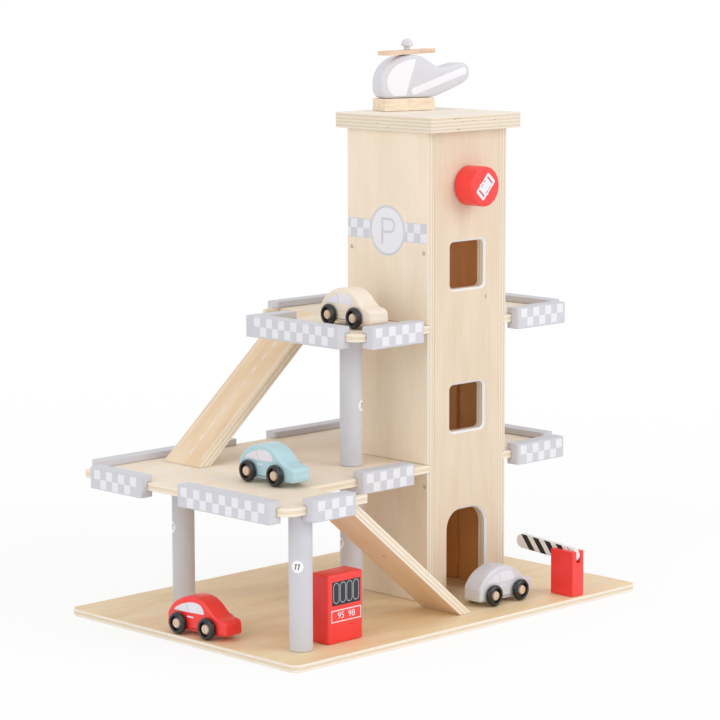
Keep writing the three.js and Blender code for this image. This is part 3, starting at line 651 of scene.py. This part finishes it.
def sign(finish, colour):
    """Roundel with a plain letter P between two bands of checks."""
    y, z = finish.along(Y), finish.along(Z)
    outer = finish.facing(X) < -0.7
    half_width, half_height = SIGN["half"]
    u, v = (SIGN["y"] - y) / half_width, (z - SIGN["z"]) / half_height
    reach = (u * u + v * v).root()
    disc = reach < 1
    inner = reach < 1 - SIGN["ring"] / half_height
    (near, far), (foot, top) = BAND["y"], BAND["z"]
    band = y.between(near, far) & z.between(foot, top)
    row = (z - foot) > (top - foot) / 2
    column = ((y - near) / BAND["column"]).floor() + row
    white_cell = column.wrap(2) < 0.5
    frame_line = (z < foot + BAND["border"]) | (z > top - BAND["border"])
    colour = finish.mix(band & outer, colour, GREY_PRINT)
    colour = finish.mix(band & outer & white_cell & (1 - frame_line), colour, WHITE_PRINT)
    colour = finish.mix(disc & outer, colour, GREY_PRINT)
    colour = finish.mix(inner & outer, colour, WHITE_PRINT)
    stem = y.between(*LETTER["stem"]) & z.between(*LETTER["z"])
    ring = rounded_box(y - LETTER["stem"][1], z - LETTER["bowl_z"], *LETTER["bowl"])
    bowl = stroke(ring, LETTER["line"]) & y.between(*LETTER["bowl_y"])
    return finish.mix((stem | bowl) & outer, colour, GREY_PRINT)


def side_plywood(node, inside):
    return plywood(node + "_plywood", X, Z, low(node).x, PANEL, edges=DULL_EDGE, inside=inside)


left = side_plywood("tower_left", X)
colour_in = left.shader.inputs["Base Color"]
left.set("Base Color", sign(left, colour_in.links[0].from_socket))
rear = plywood("tower_back_plywood", Y, Z, low("tower_back").y, PANEL, inside=-Y)
front = plywood("tower_front_plywood", Y, Z, low("tower_front").y, PANEL, tones=FRONT_FACE,
                knots=[(289, 323, 1.6)])
# The lift cage is coloured wholly in the painted shade tone of the tower's inside
cage = plywood("cage_plywood", X, Z, low("lift_cage").x, size_of("lift_cage").x, 0, tones=INSIDE_SHADE_FACE)
keep("tower_left", left)
keep("tower_right", side_plywood("tower_right", -X))
keep("tower_back", rear)
keep("lift_cage", cage)

# Front panel with its painted chamfers. The openings stand a little right of its middle, and the
# bearing is the hole for the lift's spindle.
CHAMFER = 2.7
HOLES = {"offset": 0.6, "width": 45, "height": 44, "corner": 5, "sills": (298.7, 165),
         "door": 51.4, "arch": 90.4, "shoulder": 18}
BEARING = {"at": (297.95, 86.5, 394.5), "radius": 4.3, "clear_below": 380}
CUTTER = 40  # length of what cuts through the panel
HAIR = 1e-5  # metres within which two levels count as one


def opening_cutter(middle_x, width, foot, top, corner, all_round):
    """A rounded block that cuts an opening through the panel."""
    bpy.ops.mesh.primitive_cube_add(size=1)
    cutter = bpy.context.object
    middle = spot(middle_x, low("tower_front").y + PANEL / 2, (foot + top) / 2)
    size = Matrix.Diagonal((width * MM, CUTTER * MM, (top - foot) * MM, 1))
    cutter.data.transform(shift(middle) @ size)
    rounded_from = spot(0, 0, top).z - HAIR
    select_edges(cutter.data, lambda a, b: abs(a.y - b.y) > MM and (all_round or a.z > rounded_from))
    bpy.ops.mesh.bevel(offset=corner * MM, segments=12)
    bpy.ops.object.mode_set(mode="OBJECT")
    return cutter


def tower_front_panel():
    a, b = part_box("tower_front")
    bpy.ops.mesh.primitive_cube_add(size=1)
    panel = bpy.context.object
    panel.data.transform(shift((a + b) / 2) @ Matrix.Diagonal((*(b - a), 1)))
    middle_x = (low("tower_front").x + high("tower_front").x) / 2 + HOLES["offset"]
    for sill in HOLES["sills"]:
        cut(panel, opening_cutter(middle_x, HOLES["width"], sill, sill + HOLES["height"],
                                  HOLES["corner"], True))
    cut(panel, opening_cutter(middle_x, HOLES["door"], 0, HOLES["arch"], HOLES["shoulder"], False))
    bpy.ops.mesh.primitive_cylinder_add(vertices=48, radius=BEARING["radius"] * MM, depth=CUTTER * MM,
                                        location=spot(*BEARING["at"]), rotation=(math.pi / 2, 0, 0))
    cut(panel, bpy.context.object)
    select_only(panel)
    side, foot = 2 * MM, 1.5 * MM
    ceiling = spot(0, 0, BEARING["clear_below"]).z

    def rim(p, q):
        """Whether a near edge goes round an opening: not along the panel's outline or the bearing."""
        near = p.y < a.y + HAIR and q.y < a.y + HAIR
        clear = all(a.x + side < c.x < b.x - side and c.z < ceiling for c in (p, q))
        bottom = p.z < a.z + foot and q.z < a.z + foot
        return near and clear and not bottom

    select_edges(panel.data, rim)
    bpy.ops.mesh.bevel(offset=CHAMFER * MM, offset_type="WIDTH", segments=1)
    bpy.ops.object.mode_set(mode="OBJECT")
    finish_piece(panel, "tower_front_panel", "garage", [front, white_paint], ["tower_front"])
    for face in panel.data.polygons:
        chamfer = -0.95 < face.normal.y < -0.3
        face.material_index = 1 if chamfer else 0


tower_front_panel()


# Ramps: plies lie along their slope. head is the middle of the upper end, as x, y, z.
RAMP = 9.5  # thickness
ROAD = {"edge": 20.5, "half_line": 0.6, "half_centre": 0.75, "dash": 8, "period": 17.5,
        "first_dash": 4, "top_end": 3, "foot_end": 10}
RAMPS = {
    "lower_ramp": {"direction": 1, "run": 154.5, "rise": 128.3, "head": (94, 53, 135.3),
                   "knots": [(76, 51.4, 2.2)]},
    "upper_ramp": {"direction": -1, "run": 152.5, "rise": 130.3, "head": (237.5, 245.2, 268.3)},
}


def ramp_finish(name, direction, run, rise, head, knots=()):
    slope = math.atan2(rise, run)
    downhill = Vector((direction * math.cos(slope), 0, -math.sin(slope)))
    up = Vector((direction * math.sin(slope), 0, math.cos(slope)))
    head = Vector(head)

    def marks(finish):
        along = finish.along(downhill, head.dot(downhill))
        side = finish.along(Y, head.y)
        edge_lines = abs(abs(side) - ROAD["edge"]) < ROAD["half_line"]
        dashes = (along - ROAD["first_dash"]).wrap(ROAD["period"]) < ROAD["dash"]
        centre = (abs(side) < ROAD["half_centre"]) & dashes
        ends = along.between(ROAD["top_end"], math.hypot(run, rise) - ROAD["foot_end"])
        return (edge_lines | centre) & ends & (finish.facing(up) > 0.7)

    return plywood(name, up, downhill, head.dot(up) - RAMP, RAMP, 5, marks, WARM_FACE, knots=knots)


for node, facts in RAMPS.items():
    keep(node, ramp_finish(node + "_plywood", **facts), 0.35)


# Rails and pillars

# Start and end of the printed checks along each bar that has them, and the number of columns
CHECKS = {
    "level1_rail_left_rear": (208.1, 267.3, 7), "level1_rail_left_front": (38.2, 147.5, 13),
    "level1_rail_front": (39.4, 81.4, 5), "level1_rail_tower": (158.3, 217.5, 7),
    "level1_rail_wing_front": (363.8, 422.7, 7), "level2_rail_left": (103.3, 209.6, 13),
    "level2_rail_front": (169.6, 229.1, 7), "level2_rail_wing_front": (363.5, 422.5, 7),
}
CHECK_ROW, CHECK_FOOT = 8.5, {"level1": 125.4, "level2": 256.8}


def checked_grey(node, outward):
    """Grey paint with two rows of white checks on the outer side of a bar."""
    finish = paint(node + "_paint", GREY, 0.5)
    start, end, columns = CHECKS[node]
    u = finish.along(Y if abs(outward.x) > 0.5 else X, start)
    v = finish.along(Z, CHECK_FOOT[node.split("_")[0]])
    inside = u.between(0, end - start) & v.between(0, 2 * CHECK_ROW)
    parity = ((u * columns / (end - start)).floor() + (v / CHECK_ROW).floor()).wrap(2)
    outer = finish.facing(outward) > 0.8
    return printed(finish, inside & outer & (parity > 0.5), WHITE_PRINT)


for node in sorted(nodes):
    if node in CHECKS:
        keep(node, checked_grey(node, -X if "_left" in node else -Y))
    elif "_rail_" in node:
        keep(node, grey_paint)


# Side that the number sticker of each pillar faces, and the height of its middle
STICKERS = {
    "pillar_front": ((-0.86, -0.51), 83), "pillar_rear": ((-0.897, 0.441), 78),
    "pillar_middle": ((-0.897, 0.441), 65), "pillar_far": ((0.7, 0.7), 80),
    "upper_pillar_middle": ((0.464, -0.885), 194.5), "upper_pillar_far": ((0.7, 0.7), 200),
}
LABEL = {"radius": 5.5, "stretch": 1.06, "lean": 0.28, "ink_height": 2.7, "flag": (1.4, 2.2)}


def pillar(node, toward, height):
    """A pillar and its round number sticker, turned to that side."""
    radius, tall, edge = size_of(node).x / 2, size_of(node).z, 0.5
    foot = foot_of(node)
    piece = turned([(radius - edge, 0), (radius, edge), (radius, tall - edge), (radius - edge, tall)])
    place(piece, shift(foot))
    finish = paint(node + "_paint", GREY, 0.46)
    sticker(finish, (foot - CORNER) / MM, height, toward)
    finish_piece(piece, node + "_post", "garage", [finish], [node])


def sticker(finish, centre, z, toward):
    """Round white label with two tilted strokes, a plain number."""
    out = Vector((*toward, 0)).normalized()
    side = out.cross(Z)
    u = finish.along(side, centre.dot(side)) * LABEL["stretch"]
    v = finish.along(Z, z)
    disc = ((u * u + v * v) < LABEL["radius"] ** 2) & (finish.facing(out) > 0.2)
    printed(finish, disc, srgb(0xF9F8F9))
    lean = u * -1 - v * LABEL["lean"]
    ones = (abs(lean + 1.5) < 0.5) | (abs(lean - 1.5) < 0.5)
    flags = (abs(lean + 2.2) < 0.8) | (abs(lean - 0.8) < 0.8)
    digits = (ones & (abs(v) < LABEL["ink_height"])) | (flags & v.between(*LABEL["flag"]))
    printed(finish, digits & disc, srgb(0x2A2A2D))


for node, (toward, height) in STICKERS.items():
    pillar(node, toward, height)


# Lift knob, spindle, cord

KNOB = {"tilt": 43, "front_edge": 1.8, "back_edge": 0.8, "bore": 4.2, "bore_depth": 14}


def knob_paint(centre):
    """Red paint with a white car seen from above on the front."""
    finish = paint("knob_paint", RED, 0.4, coat=0.2)
    tilt = math.radians(KNOB["tilt"])
    along = Vector((math.sin(tilt), 0, math.cos(tilt)))
    across = Vector((math.cos(tilt), 0, -math.sin(tilt)))
    u, v = finish.along(across, centre.dot(across)), finish.along(along, centre.dot(along))
    front_side = finish.facing(Y) < -0.8
    body = rounded_box(u, v, 6.5, 11.9, 2) < 0
    panes = (abs(u) < 4.5) & (abs(abs(v) - 8) < 0.85)
    side_panes = (abs(abs(u) - 4.5) < 0.4) & (abs(abs(v) - 2.6) < 2)
    mirrors = (abs(abs(u) - 6.8) < 0.7) & (abs(v + 3.4) < 0.6)
    printed(finish, (body | mirrors) & front_side, WHITE_PRINT)
    return printed(finish, (panes | side_panes) & front_side, srgb(0xC8485A))


def knob():
    a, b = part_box("lift_knob")
    middle = (a + b) / 2
    radius, depth = size_of("lift_knob").x / 2, size_of("lift_knob").y
    edge, back, bore = KNOB["front_edge"], KNOB["back_edge"], KNOB["bore"]
    profile = arc(radius - edge, edge, edge, -90, 0, 6)
    profile += [(radius, depth - back), (radius - back, depth), (bore, depth)]
    profile += [(bore, depth - KNOB["bore_depth"])]
    piece = turned(profile, 96)
    place(piece, shift(Vector((middle.x, a.y, middle.z))) @ turn_to(Y))
    finish = knob_paint((middle - CORNER) / MM)
    finish_piece(piece, "knob_turned", "lift_drive", [finish], ["lift_knob"])


knob()
keep("lift_spindle", bare_wood, 0.2)


# Radius of a strand, its distance from the cord's axis, and the length of one twist
CORD = {"strands": 3, "radius": 0.42, "offset": 0.36, "lay": 6, "steps": 120}


def lift_cord():
    """Twisted cord from the drum to the cage."""
    foot, length = foot_of("lift_cord"), size_of("lift_cord").z
    circle = {"vertices": 10, "radius": CORD["radius"] * MM, "fill_type": "NOTHING"}
    bpy.ops.mesh.primitive_circle_add(**circle)
    piece = bpy.context.object
    piece.data.transform(shift((CORD["offset"] * MM, 0, 0)))
    bpy.ops.object.mode_set(mode="EDIT")
    for i in range(1, CORD["strands"]):
        turn = Matrix.Rotation(2 * math.pi * i / CORD["strands"], 3, "Z")
        bpy.ops.mesh.primitive_circle_add(location=turn @ (X * CORD["offset"] * MM), **circle)
    bpy.ops.object.mode_set(mode="OBJECT")
    apply_modifier(piece, "SCREW", angle=2 * math.pi * length / CORD["lay"], screw_offset=length * MM,
                   steps=CORD["steps"], render_steps=CORD["steps"], use_smooth_shade=True)
    bpy.ops.object.mode_set(mode="EDIT")
    close_mesh()
    place(piece, shift(foot))
    piece.name = "lift_cord_twisted"
    cotton = Finish("cotton_cord", 0.85)
    x, y, z = cotton.axes()
    fuzz = cotton.noise(x / 0.4, y / 0.4, z / 0.8, 3, 0.6)
    cotton.set("Base Color", cotton.ramp(fuzz, [(0.3, srgb(0xB9B4A8)), (0.7, srgb(0xE4E0D6))]))
    cotton.bump(fuzz, 0.1)
    dress(piece, cotton)
    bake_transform(piece)
    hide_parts("lift_cord")


lift_cord()


# Fuel pump and barrier

# Prints on the pump's near side: height of the middle over its foot, half sizes and corner radius
PUMP_EDGE, PRINT_OFFSET = 1.7, 0.9
DISPLAY = {"z": 44.8, "box": (17.2, 10.7, 0.4)}
PILL = {"z": 45.2, "box": (3.3, 9, 3.3), "pitch": 8.05, "line": 0.6}
PLATE = {"z": 24.6, "outer": (18.4, 5.6, 0.3), "inner": (17.3, 4.5, 0.3), "digits": 8.4}


def fuel_pump():
    foot = foot_of("fuel_pump")
    piece = block(size_of("fuel_pump"), PUMP_EDGE)
    place(piece, shift(foot))
    finish = paint("pump_paint", RED, 0.42, coat=0.15)
    u = finish.along(X, (foot.x - CORNER.x) / MM + PRINT_OFFSET)
    v = finish.along(Z, low("fuel_pump").z)
    face = finish.facing(Y) < -0.8
    display = rounded_box(u, v - DISPLAY["z"], *DISPLAY["box"]) < 0
    printed(finish, display & face, srgb(0x0B0A0C))
    half_row = PILL["pitch"] * 2
    row = (abs(u) < half_row) & face
    cell = (u + half_row).wrap(PILL["pitch"]) - PILL["pitch"] / 2
    pill = rounded_box(cell, v - PILL["z"], *PILL["box"])
    printed(finish, (pill < 0) & row, srgb(0x1C1D24))
    printed(finish, stroke(pill, PILL["line"]) & row, srgb(0xB9BEC6))
    outer, inner = (rounded_box(u, v - PLATE["z"], *PLATE[edge]) for edge in ("outer", "inner"))
    printed(finish, (outer < 0) & (inner > 0) & face, srgb(0xFBD9DC))
    finish_piece(piece, "fuel_pump_block", "garage", [finish], ["fuel_pump"])
    digits = lettering("95  98", PLATE["digits"], 0.2)
    near_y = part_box("fuel_pump")[0].y
    middle = Vector((foot.x + PRINT_OFFSET * MM, near_y, foot.z + PLATE["z"] * MM))
    place(digits, shift(middle) @ Matrix.Rotation(math.pi / 2, 4, "X"))
    finish_piece(digits, "fuel_pump_digits", "garage", [print_white])


fuel_pump()

keep("barrier_post", red_paint, 0.35)
keep("barrier_pin", hub_wood, 0.15)


ARM = {"pivot": (368.3, 10.55, 46.05), "tilt": 3.7, "radius": 6.75, "reach": 62.75, "thickness": 5}
BANDS = {"slant": 0.88, "start": 56.7, "width": 7.5, "period": 14.6, "ends": (5, 64.4)}


def barrier_arm():
    """Rounded slat with slanted black bands; it rests tilted a little upwards."""
    tilt = math.radians(ARM["tilt"])
    pivot = spot(*ARM["pivot"])
    radius = ARM["radius"]
    points = arc(0, 0, radius, 90, 270, 12) + arc(ARM["reach"], 0, radius, -90, 90, 12)
    piece = slab(points, ARM["thickness"], 0.5, 3, curved=False)
    smooth(piece)
    away = Vector((0, math.cos(tilt), math.sin(tilt)))
    up = Vector((0, -math.sin(tilt), math.cos(tilt)))
    frame_matrix = Matrix((away, up, away.cross(up))).transposed().to_4x4()
    place(piece, shift(pivot) @ frame_matrix)
    finish = paint("arm_paint", srgb(0xF0EEEF), 0.45)
    s = finish.along(away, (pivot - CORNER).dot(away) / MM)
    t = finish.along(up, (pivot - CORNER).dot(up) / MM)
    lean = s - (t - radius) * BANDS["slant"]
    band = (lean - BANDS["start"]).wrap(BANDS["period"]) < BANDS["width"]
    band = band & lean.between(*BANDS["ends"])
    printed(finish, band & (abs(finish.facing(X)) > 0.7), srgb(0x141316))
    finish_piece(piece, "barrier_arm_slat", "barrier_arm", [finish], ["barrier_arm"])


barrier_arm()


# Helicopter

# at is the middle of the block on the roof, seat the block's height
HELI = {"at": (298.95, 166, 460), "yaw": -17, "width": 18.5, "seat": 12, "edge": 2.8}
HELI_FRAME = shift(spot(*HELI["at"])) @ Matrix.Rotation(math.radians(HELI["yaw"]), 4, "Z")
MAST = {"pin": 2, "neck": 3, "neck_height": 3.2, "cap": 5.75, "cap_height": 7.2, "edge": 0.6}
# Printed pane and stripe: middles and half sizes, measured as the hull is
PANE = {"s": 8, "z": 15.5, "half": (30.5, 20.6), "foot": 2.2, "rear_edge": (-2.5, 2.4, 0.317)}
STRIPE = {"s": 33, "z": 15.2, "run": 53.9, "rise": 18.3, "box": (31, 3.4, 3.3)}
# Side view of the hull: distance from the block's middle, height over the block
HULL = [(-29.2, 6.5), (-28, 4), (-26.3, 1.6), (-24, 0.4), (-20, 0.1), (0, 0.1), (22, 0.1), (26.5, 0.3),
        (30.5, 1.1), (36, 3), (41.5, 5.1), (48.5, 7.8), (55.5, 10.7), (60, 12.9), (63.5, 15.4),
        (65.8, 18.2), (66.5, 21), (66.4, 24), (65.6, 27), (64.2, 29.2), (62, 30.8), (59, 31.6),
        (55.5, 31.7), (51.5, 31.3), (48, 30.6), (44.5, 29.6), (41.5, 28.7), (38.5, 28), (35.5, 27.7),
        (32.5, 28.2), (29.5, 29.7), (26.5, 31.7), (23.5, 33.7), (20, 36), (16.5, 37.9), (13, 39.2),
        (9.5, 39.9), (5.6, 40.2), (1.7, 40.3), (-3, 39.9), (-7, 39.2), (-11.5, 38), (-15.5, 36.2),
        (-19, 34), (-22, 31.4), (-24.5, 28.6), (-26.5, 25.4), (-28.2, 21.8), (-29.1, 18),
        (-29.5, 14.5), (-29.5, 10.5)]


def upright_in(matrix, depth=0):
    """Stands a slab drawn in X and Y upright in a turned frame, facing its near side."""
    return matrix @ shift((0, depth * MM, 0)) @ Matrix.Rotation(math.pi / 2, 4, "X")


def helicopter_hull():
    points = [(s, z + HELI["seat"]) for s, z in HULL]
    hull = slab(points, HELI["width"], HELI["edge"], 5)
    smooth(hull, 60)
    place(hull, upright_in(HELI_FRAME))
    side = HELI_FRAME.to_3x3() @ X
    out = HELI_FRAME.to_3x3() @ -Y
    finish = paint("helicopter_paint", PALE_GREY, 0.4, coat=0.15)
    middle = (HELI_FRAME.translation - CORNER) / MM
    s = finish.along(side, middle.dot(side))
    z = finish.along(Z, HELI["at"][2] + HELI["seat"])
    edge_s, edge_z, lean = PANE["rear_edge"]
    across, rise = (s - PANE["s"]) / PANE["half"][0], (z - PANE["z"]) / PANE["half"][1]
    pane = (s - edge_s - (z - edge_z) * lean < 0) & (across * across + rise * rise < 1)
    pane = pane & (z > PANE["foot"])
    slope = math.atan2(STRIPE["rise"], STRIPE["run"])
    ds, dz = s - STRIPE["s"], z - STRIPE["z"]
    u = ds * math.cos(slope) + dz * math.sin(slope)
    v = dz * math.cos(slope) - ds * math.sin(slope)
    stripe = rounded_box(u, v, *STRIPE["box"]) < 0
    printed(finish, (pane | stripe) & (abs(finish.facing(out)) > 0.9), srgb(0xF0EFF4))
    finish_piece(hull, "helicopter_hull", "helicopter", [finish], ["helicopter_body"])


def helicopter_mast():
    """Pin through the rotor, with a neck and a domed cap."""
    foot = foot_of("helicopter_mast")
    pin, neck, cap, edge = MAST["pin"], MAST["neck"], MAST["cap"], MAST["edge"]
    cap_z = size_of("helicopter_mast").z - MAST["cap_height"]
    neck_z = cap_z - MAST["neck_height"]
    profile = [(pin, 0), (pin, neck_z), (neck, neck_z), (neck, cap_z), (cap - edge, cap_z)]
    for step in range(0, 88, 8):
        angle = math.radians(step)
        dome = (MAST["cap_height"] - edge) * math.sin(angle)
        profile.append((cap * math.cos(angle), cap_z + edge + dome))
    mast = turned(profile, 48)
    place(mast, shift(foot))
    finish_piece(mast, "helicopter_mast_pin", "helicopter", [pale_grey_paint],
                 ["helicopter_mast"])


helicopter_hull()
helicopter_mast()
keep("helicopter_block", block_wood, 0.4)
keep("helicopter_rotor", rotor_wood, 0.3)


# Cars

CAR = {"length": 72.5, "width": 21.6, "height": 30.6, "ground": 5, "middle": 34, "edge": 2.6}
# Side view of a car's body, in shares of its length and height
BODY_SHARES = [(0, 0.04), (0, 0.25), (0.004, 0.41), (0.029, 0.52), (0.099, 0.71), (0.207, 0.875),
               (0.315, 0.967), (0.425, 0.997), (0.531, 0.972), (0.621, 0.895), (0.692, 0.785),
               (0.758, 0.645), (0.821, 0.535), (0.893, 0.475), (0.962, 0.435), (0.993, 0.37),
               (1, 0.25), (1, 0.04), (0.985, 0), (0.015, 0)]
# Window band and short dash of a car's side: distance from its middle, height over the floor
GLASS = [(-24.8, 21.2), (-24.6, 21.9), (-22.6, 23.7), (-19.7, 25.3), (-15.8, 27.2), (-11.5, 28.7),
         (-7.5, 29.8), (-3.4, 30.5), (0.8, 30.7), (4.7, 30.2), (7, 29.4), (8.9, 28.2), (10.4, 26.5),
         (11.3, 24.8), (11.8, 23), (11.9, 21.8), (11.2, 21.3), (-10, 20.9), (-24.3, 20.9)]
DASH = [(-8.6, 16.3), (-9.1, 17), (-8.6, 17.7), (-1.5, 17.7), (-1, 17), (-1.5, 16.3)]
# The line that parts the window band leans back; PRINT is the thickness of the prints
DIVIDER = {"s": -8.2, "z": 25.4, "lean": 0.42, "half": 0.35, "above": 20}
PRINT = 0.2
CARS = {
    "red_car": (red_paint, "red_paint"), "blue_car": (blue_paint, "blue_paint"),
    "wood_car": (car_wood, "solid_wood"), "grey_car": (pale_grey_paint, "pale_grey_paint"),
}


# One wheel along Z: its face at the car's side is at 11.1, its outer face at 16.4
tyre = turned([(6.8, 11.1), *arc(7.45, 13.75, 2.65, -75, 95, 12), (6.8, 15.9), (6.3, 13.6)], 56, 60)
hub = turned([(4.2, 13), (4.2, 15.7), (3.9, 16.15), (3.4, 16.4)], 32)
axle = turned([(2.2, -14), (2.2, 14)], 24)


def wheelset(name, mid, across):
    """Two wheels with their hub pins on one axle."""
    axis = turn_to(across)
    sides = [shift(mid) @ axis, shift(mid) @ turn_to(-across)]
    tyres = joined([copied(tyre, side) for side in sides])
    finish_piece(tyres, name + "_tyres", name, [tyre_black], [name])
    pins = joined([*(copied(hub, side) for side in sides), copied(axle, sides[0])])
    finish_piece(pins, name + "_axle", name, [hub_wood])


body_points = [(x * CAR["length"] - CAR["middle"], z * CAR["height"] + CAR["ground"])
               for x, z in BODY_SHARES]
shell = slab(body_points, CAR["width"], CAR["edge"], 5)
smooth(shell, 60)
glass = joined([slab(points, PRINT, 0.04, 1, curved=False) for points in (GLASS, DASH)])


def car(name, finish):
    mids = {end: sum(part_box(f"{name}_{end}_wheels"), Vector()) / 2 for end in ("front", "rear")}
    heading = (mids["front"] - mids["rear"]).normalized()
    across = Z.cross(heading)
    matrix = Matrix((heading, across, Z)).transposed().to_4x4()
    matrix.translation = (mids["front"] + mids["rear"]) / 2
    matrix.translation.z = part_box(name + "_front_wheels")[0].z
    body = copied(shell, upright_in(matrix))
    finish_piece(body, name + "_shell", name, [finish], [name + "_body"])
    print_finish = window_finish(name, matrix)
    for side, title in ((-1, "right"), (1, "left")):
        window = copied(glass, upright_in(matrix, side * CAR["width"] / 2))
        finish_piece(window, f"{name}_window_{title}", name, [print_finish])
    for end, mid in mids.items():
        wheelset(f"{name}_{end}_wheels", mid, across)


def window_finish(name, matrix):
    finish = paint(name + "_window_print", srgb(0xEDEBF3), 0.4)
    heading = matrix.to_3x3() @ X
    origin = (matrix.translation - CORNER) / MM
    s = finish.along(heading, origin.dot(heading))
    z = finish.along(Z, origin.z)
    beside = s - DIVIDER["s"] + (z - DIVIDER["z"]) * DIVIDER["lean"]
    divider = (abs(beside) < DIVIDER["half"]) & (z > DIVIDER["above"])
    return printed(finish, divider, srgb(0xC4C2CC))


for name, (finish, slot) in CARS.items():
    car(name, finish)
for pattern in (tyre, hub, axle, shell, glass):
    bpy.data.objects.remove(pattern)


# Screws in the side panels

# Places on a panel, each (y, z), and the head's rings over its face, each (radius, height)
SCREWS = [(181.2, 334.4), (87.1, 334.6), (85.5, 117.3), (181.2, 117.3)]
SCREW_HEAD = [(1.9, -1), (2.1, -0.5), (2.1, 0.1), (1.8, 0.4), (0.8, 0.4), (0.6, 0.15)]


def steel():
    finish = Finish("screw_steel", 0.5, Metallic=0.2)
    x, y, z = finish.axes()
    wear = finish.noise(x / 0.7, y / 0.7, z / 0.7, 2, 0.5)
    finish.set("Base Color", finish.ramp(wear, [(0.35, srgb(0xA8A094)), (0.65, srgb(0xD6CFC4))]))
    return finish


def screw(x, y, z, direction, index):
    head = turned(SCREW_HEAD, 24)
    place(head, shift(spot(x, y, z)) @ turn_to(direction))
    finish_piece(head, f"screw_head_{index}", "garage", [screw_steel])


screw_steel = steel()
for index, (y, z) in enumerate(SCREWS):
    screw(low("tower_left").x, y, z, -X, index)
    screw(high("tower_right").x, y, z, X, index + len(SCREWS))


# Floor, lamps and background

# The floor glows where the camera sees it: a little less near the part than from far on. In metres.
FLOOR = {"size": 200, "near": 0.5, "fade": 2.5, "near_white": 0.93, "strength": 1.09, "share": 0.8}
WORLD_LIGHT = 0.73
# Where each softbox stands, the size of its square and its power; all look at TARGET, in metres
TARGET = (0, 0, 0.2)
LAMPS = {
    "key_softbox": ((1.6, -4, 2.3), 2.9, 70),
    "fill_softbox": ((-4.1, -0.5, 2), 3.2, 46),
    "top_softbox": ((0.1, 0.4, 2.6), 1.8, 4),
}


def white_backdrop(finish):
    """Lets the camera see the floor nearly white while it keeps the object's shadow."""
    tree = finish.tree
    path = finish.node("ShaderNodeLightPath").outputs
    x, y = finish.dot(finish.place, X), finish.dot(finish.place, Y)
    reach = ((x * x + y * y).root() - FLOOR["near"]) / FLOOR["fade"]
    near_white = (*[FLOOR["near_white"]] * 3, 1)
    white = finish.ramp(reach, [(0, near_white), (1, (1, 1, 1, 1))])
    glow = finish.node("ShaderNodeEmission", {}, {"Color": white, "Strength": FLOOR["strength"]})
    seen = Signal(finish, path["Is Camera Ray"]) | Signal(finish, path["Is Glossy Ray"])
    shaders = {0: seen * FLOOR["share"], 1: finish.shader.outputs[0], 2: glow.outputs[0]}
    mixed = finish.node("ShaderNodeMixShader", {}, shaders)
    tree.links.new(mixed.outputs[0], tree.nodes["Material Output"].inputs["Surface"])


def floor():
    bpy.ops.mesh.primitive_plane_add(size=FLOOR["size"], location=(0, 0, CORNER.z))
    piece = bpy.context.object
    piece.name = "floor"
    finish = Finish("floor_paper", 0.9)
    finish.shader.inputs["Base Color"].default_value = (0.92, 0.92, 0.92, 1)
    white_backdrop(finish)
    dress(piece, finish)


def world():
    made = bpy.data.worlds.new("studio")
    made.use_nodes = True
    tree = made.node_tree
    back = tree.nodes["Background"]
    back.inputs["Color"].default_value = (1, 1, 1, 1)
    path = add_node(tree, "ShaderNodeLightPath").outputs
    rays = {0: path["Is Camera Ray"], 1: path["Is Glossy Ray"]}
    seen = add_node(tree, "ShaderNodeMath", {"operation": "MAXIMUM"}, rays).outputs[0]
    strength = add_node(tree, "ShaderNodeMix", {}, {"A": WORLD_LIGHT, "B": 1, "Factor": seen})
    tree.links.new(strength.outputs[0], back.inputs["Strength"])
    bpy.context.scene.world = made


def lamp(name, place_from, size, power):
    data = bpy.data.lights.new(name, "AREA")
    data.energy, data.size = power, size
    piece = bpy.data.objects.new(name, data)
    piece.location = place_from
    piece.rotation_euler = (Vector(TARGET) - Vector(place_from)).to_track_quat("-Z", "Y").to_euler()
    bpy.context.scene.collection.objects.link(piece)


floor()
world()
for name, facts in LAMPS.items():
    lamp(name, *facts)

bpy.context.scene.view_settings.view_transform = "Standard"
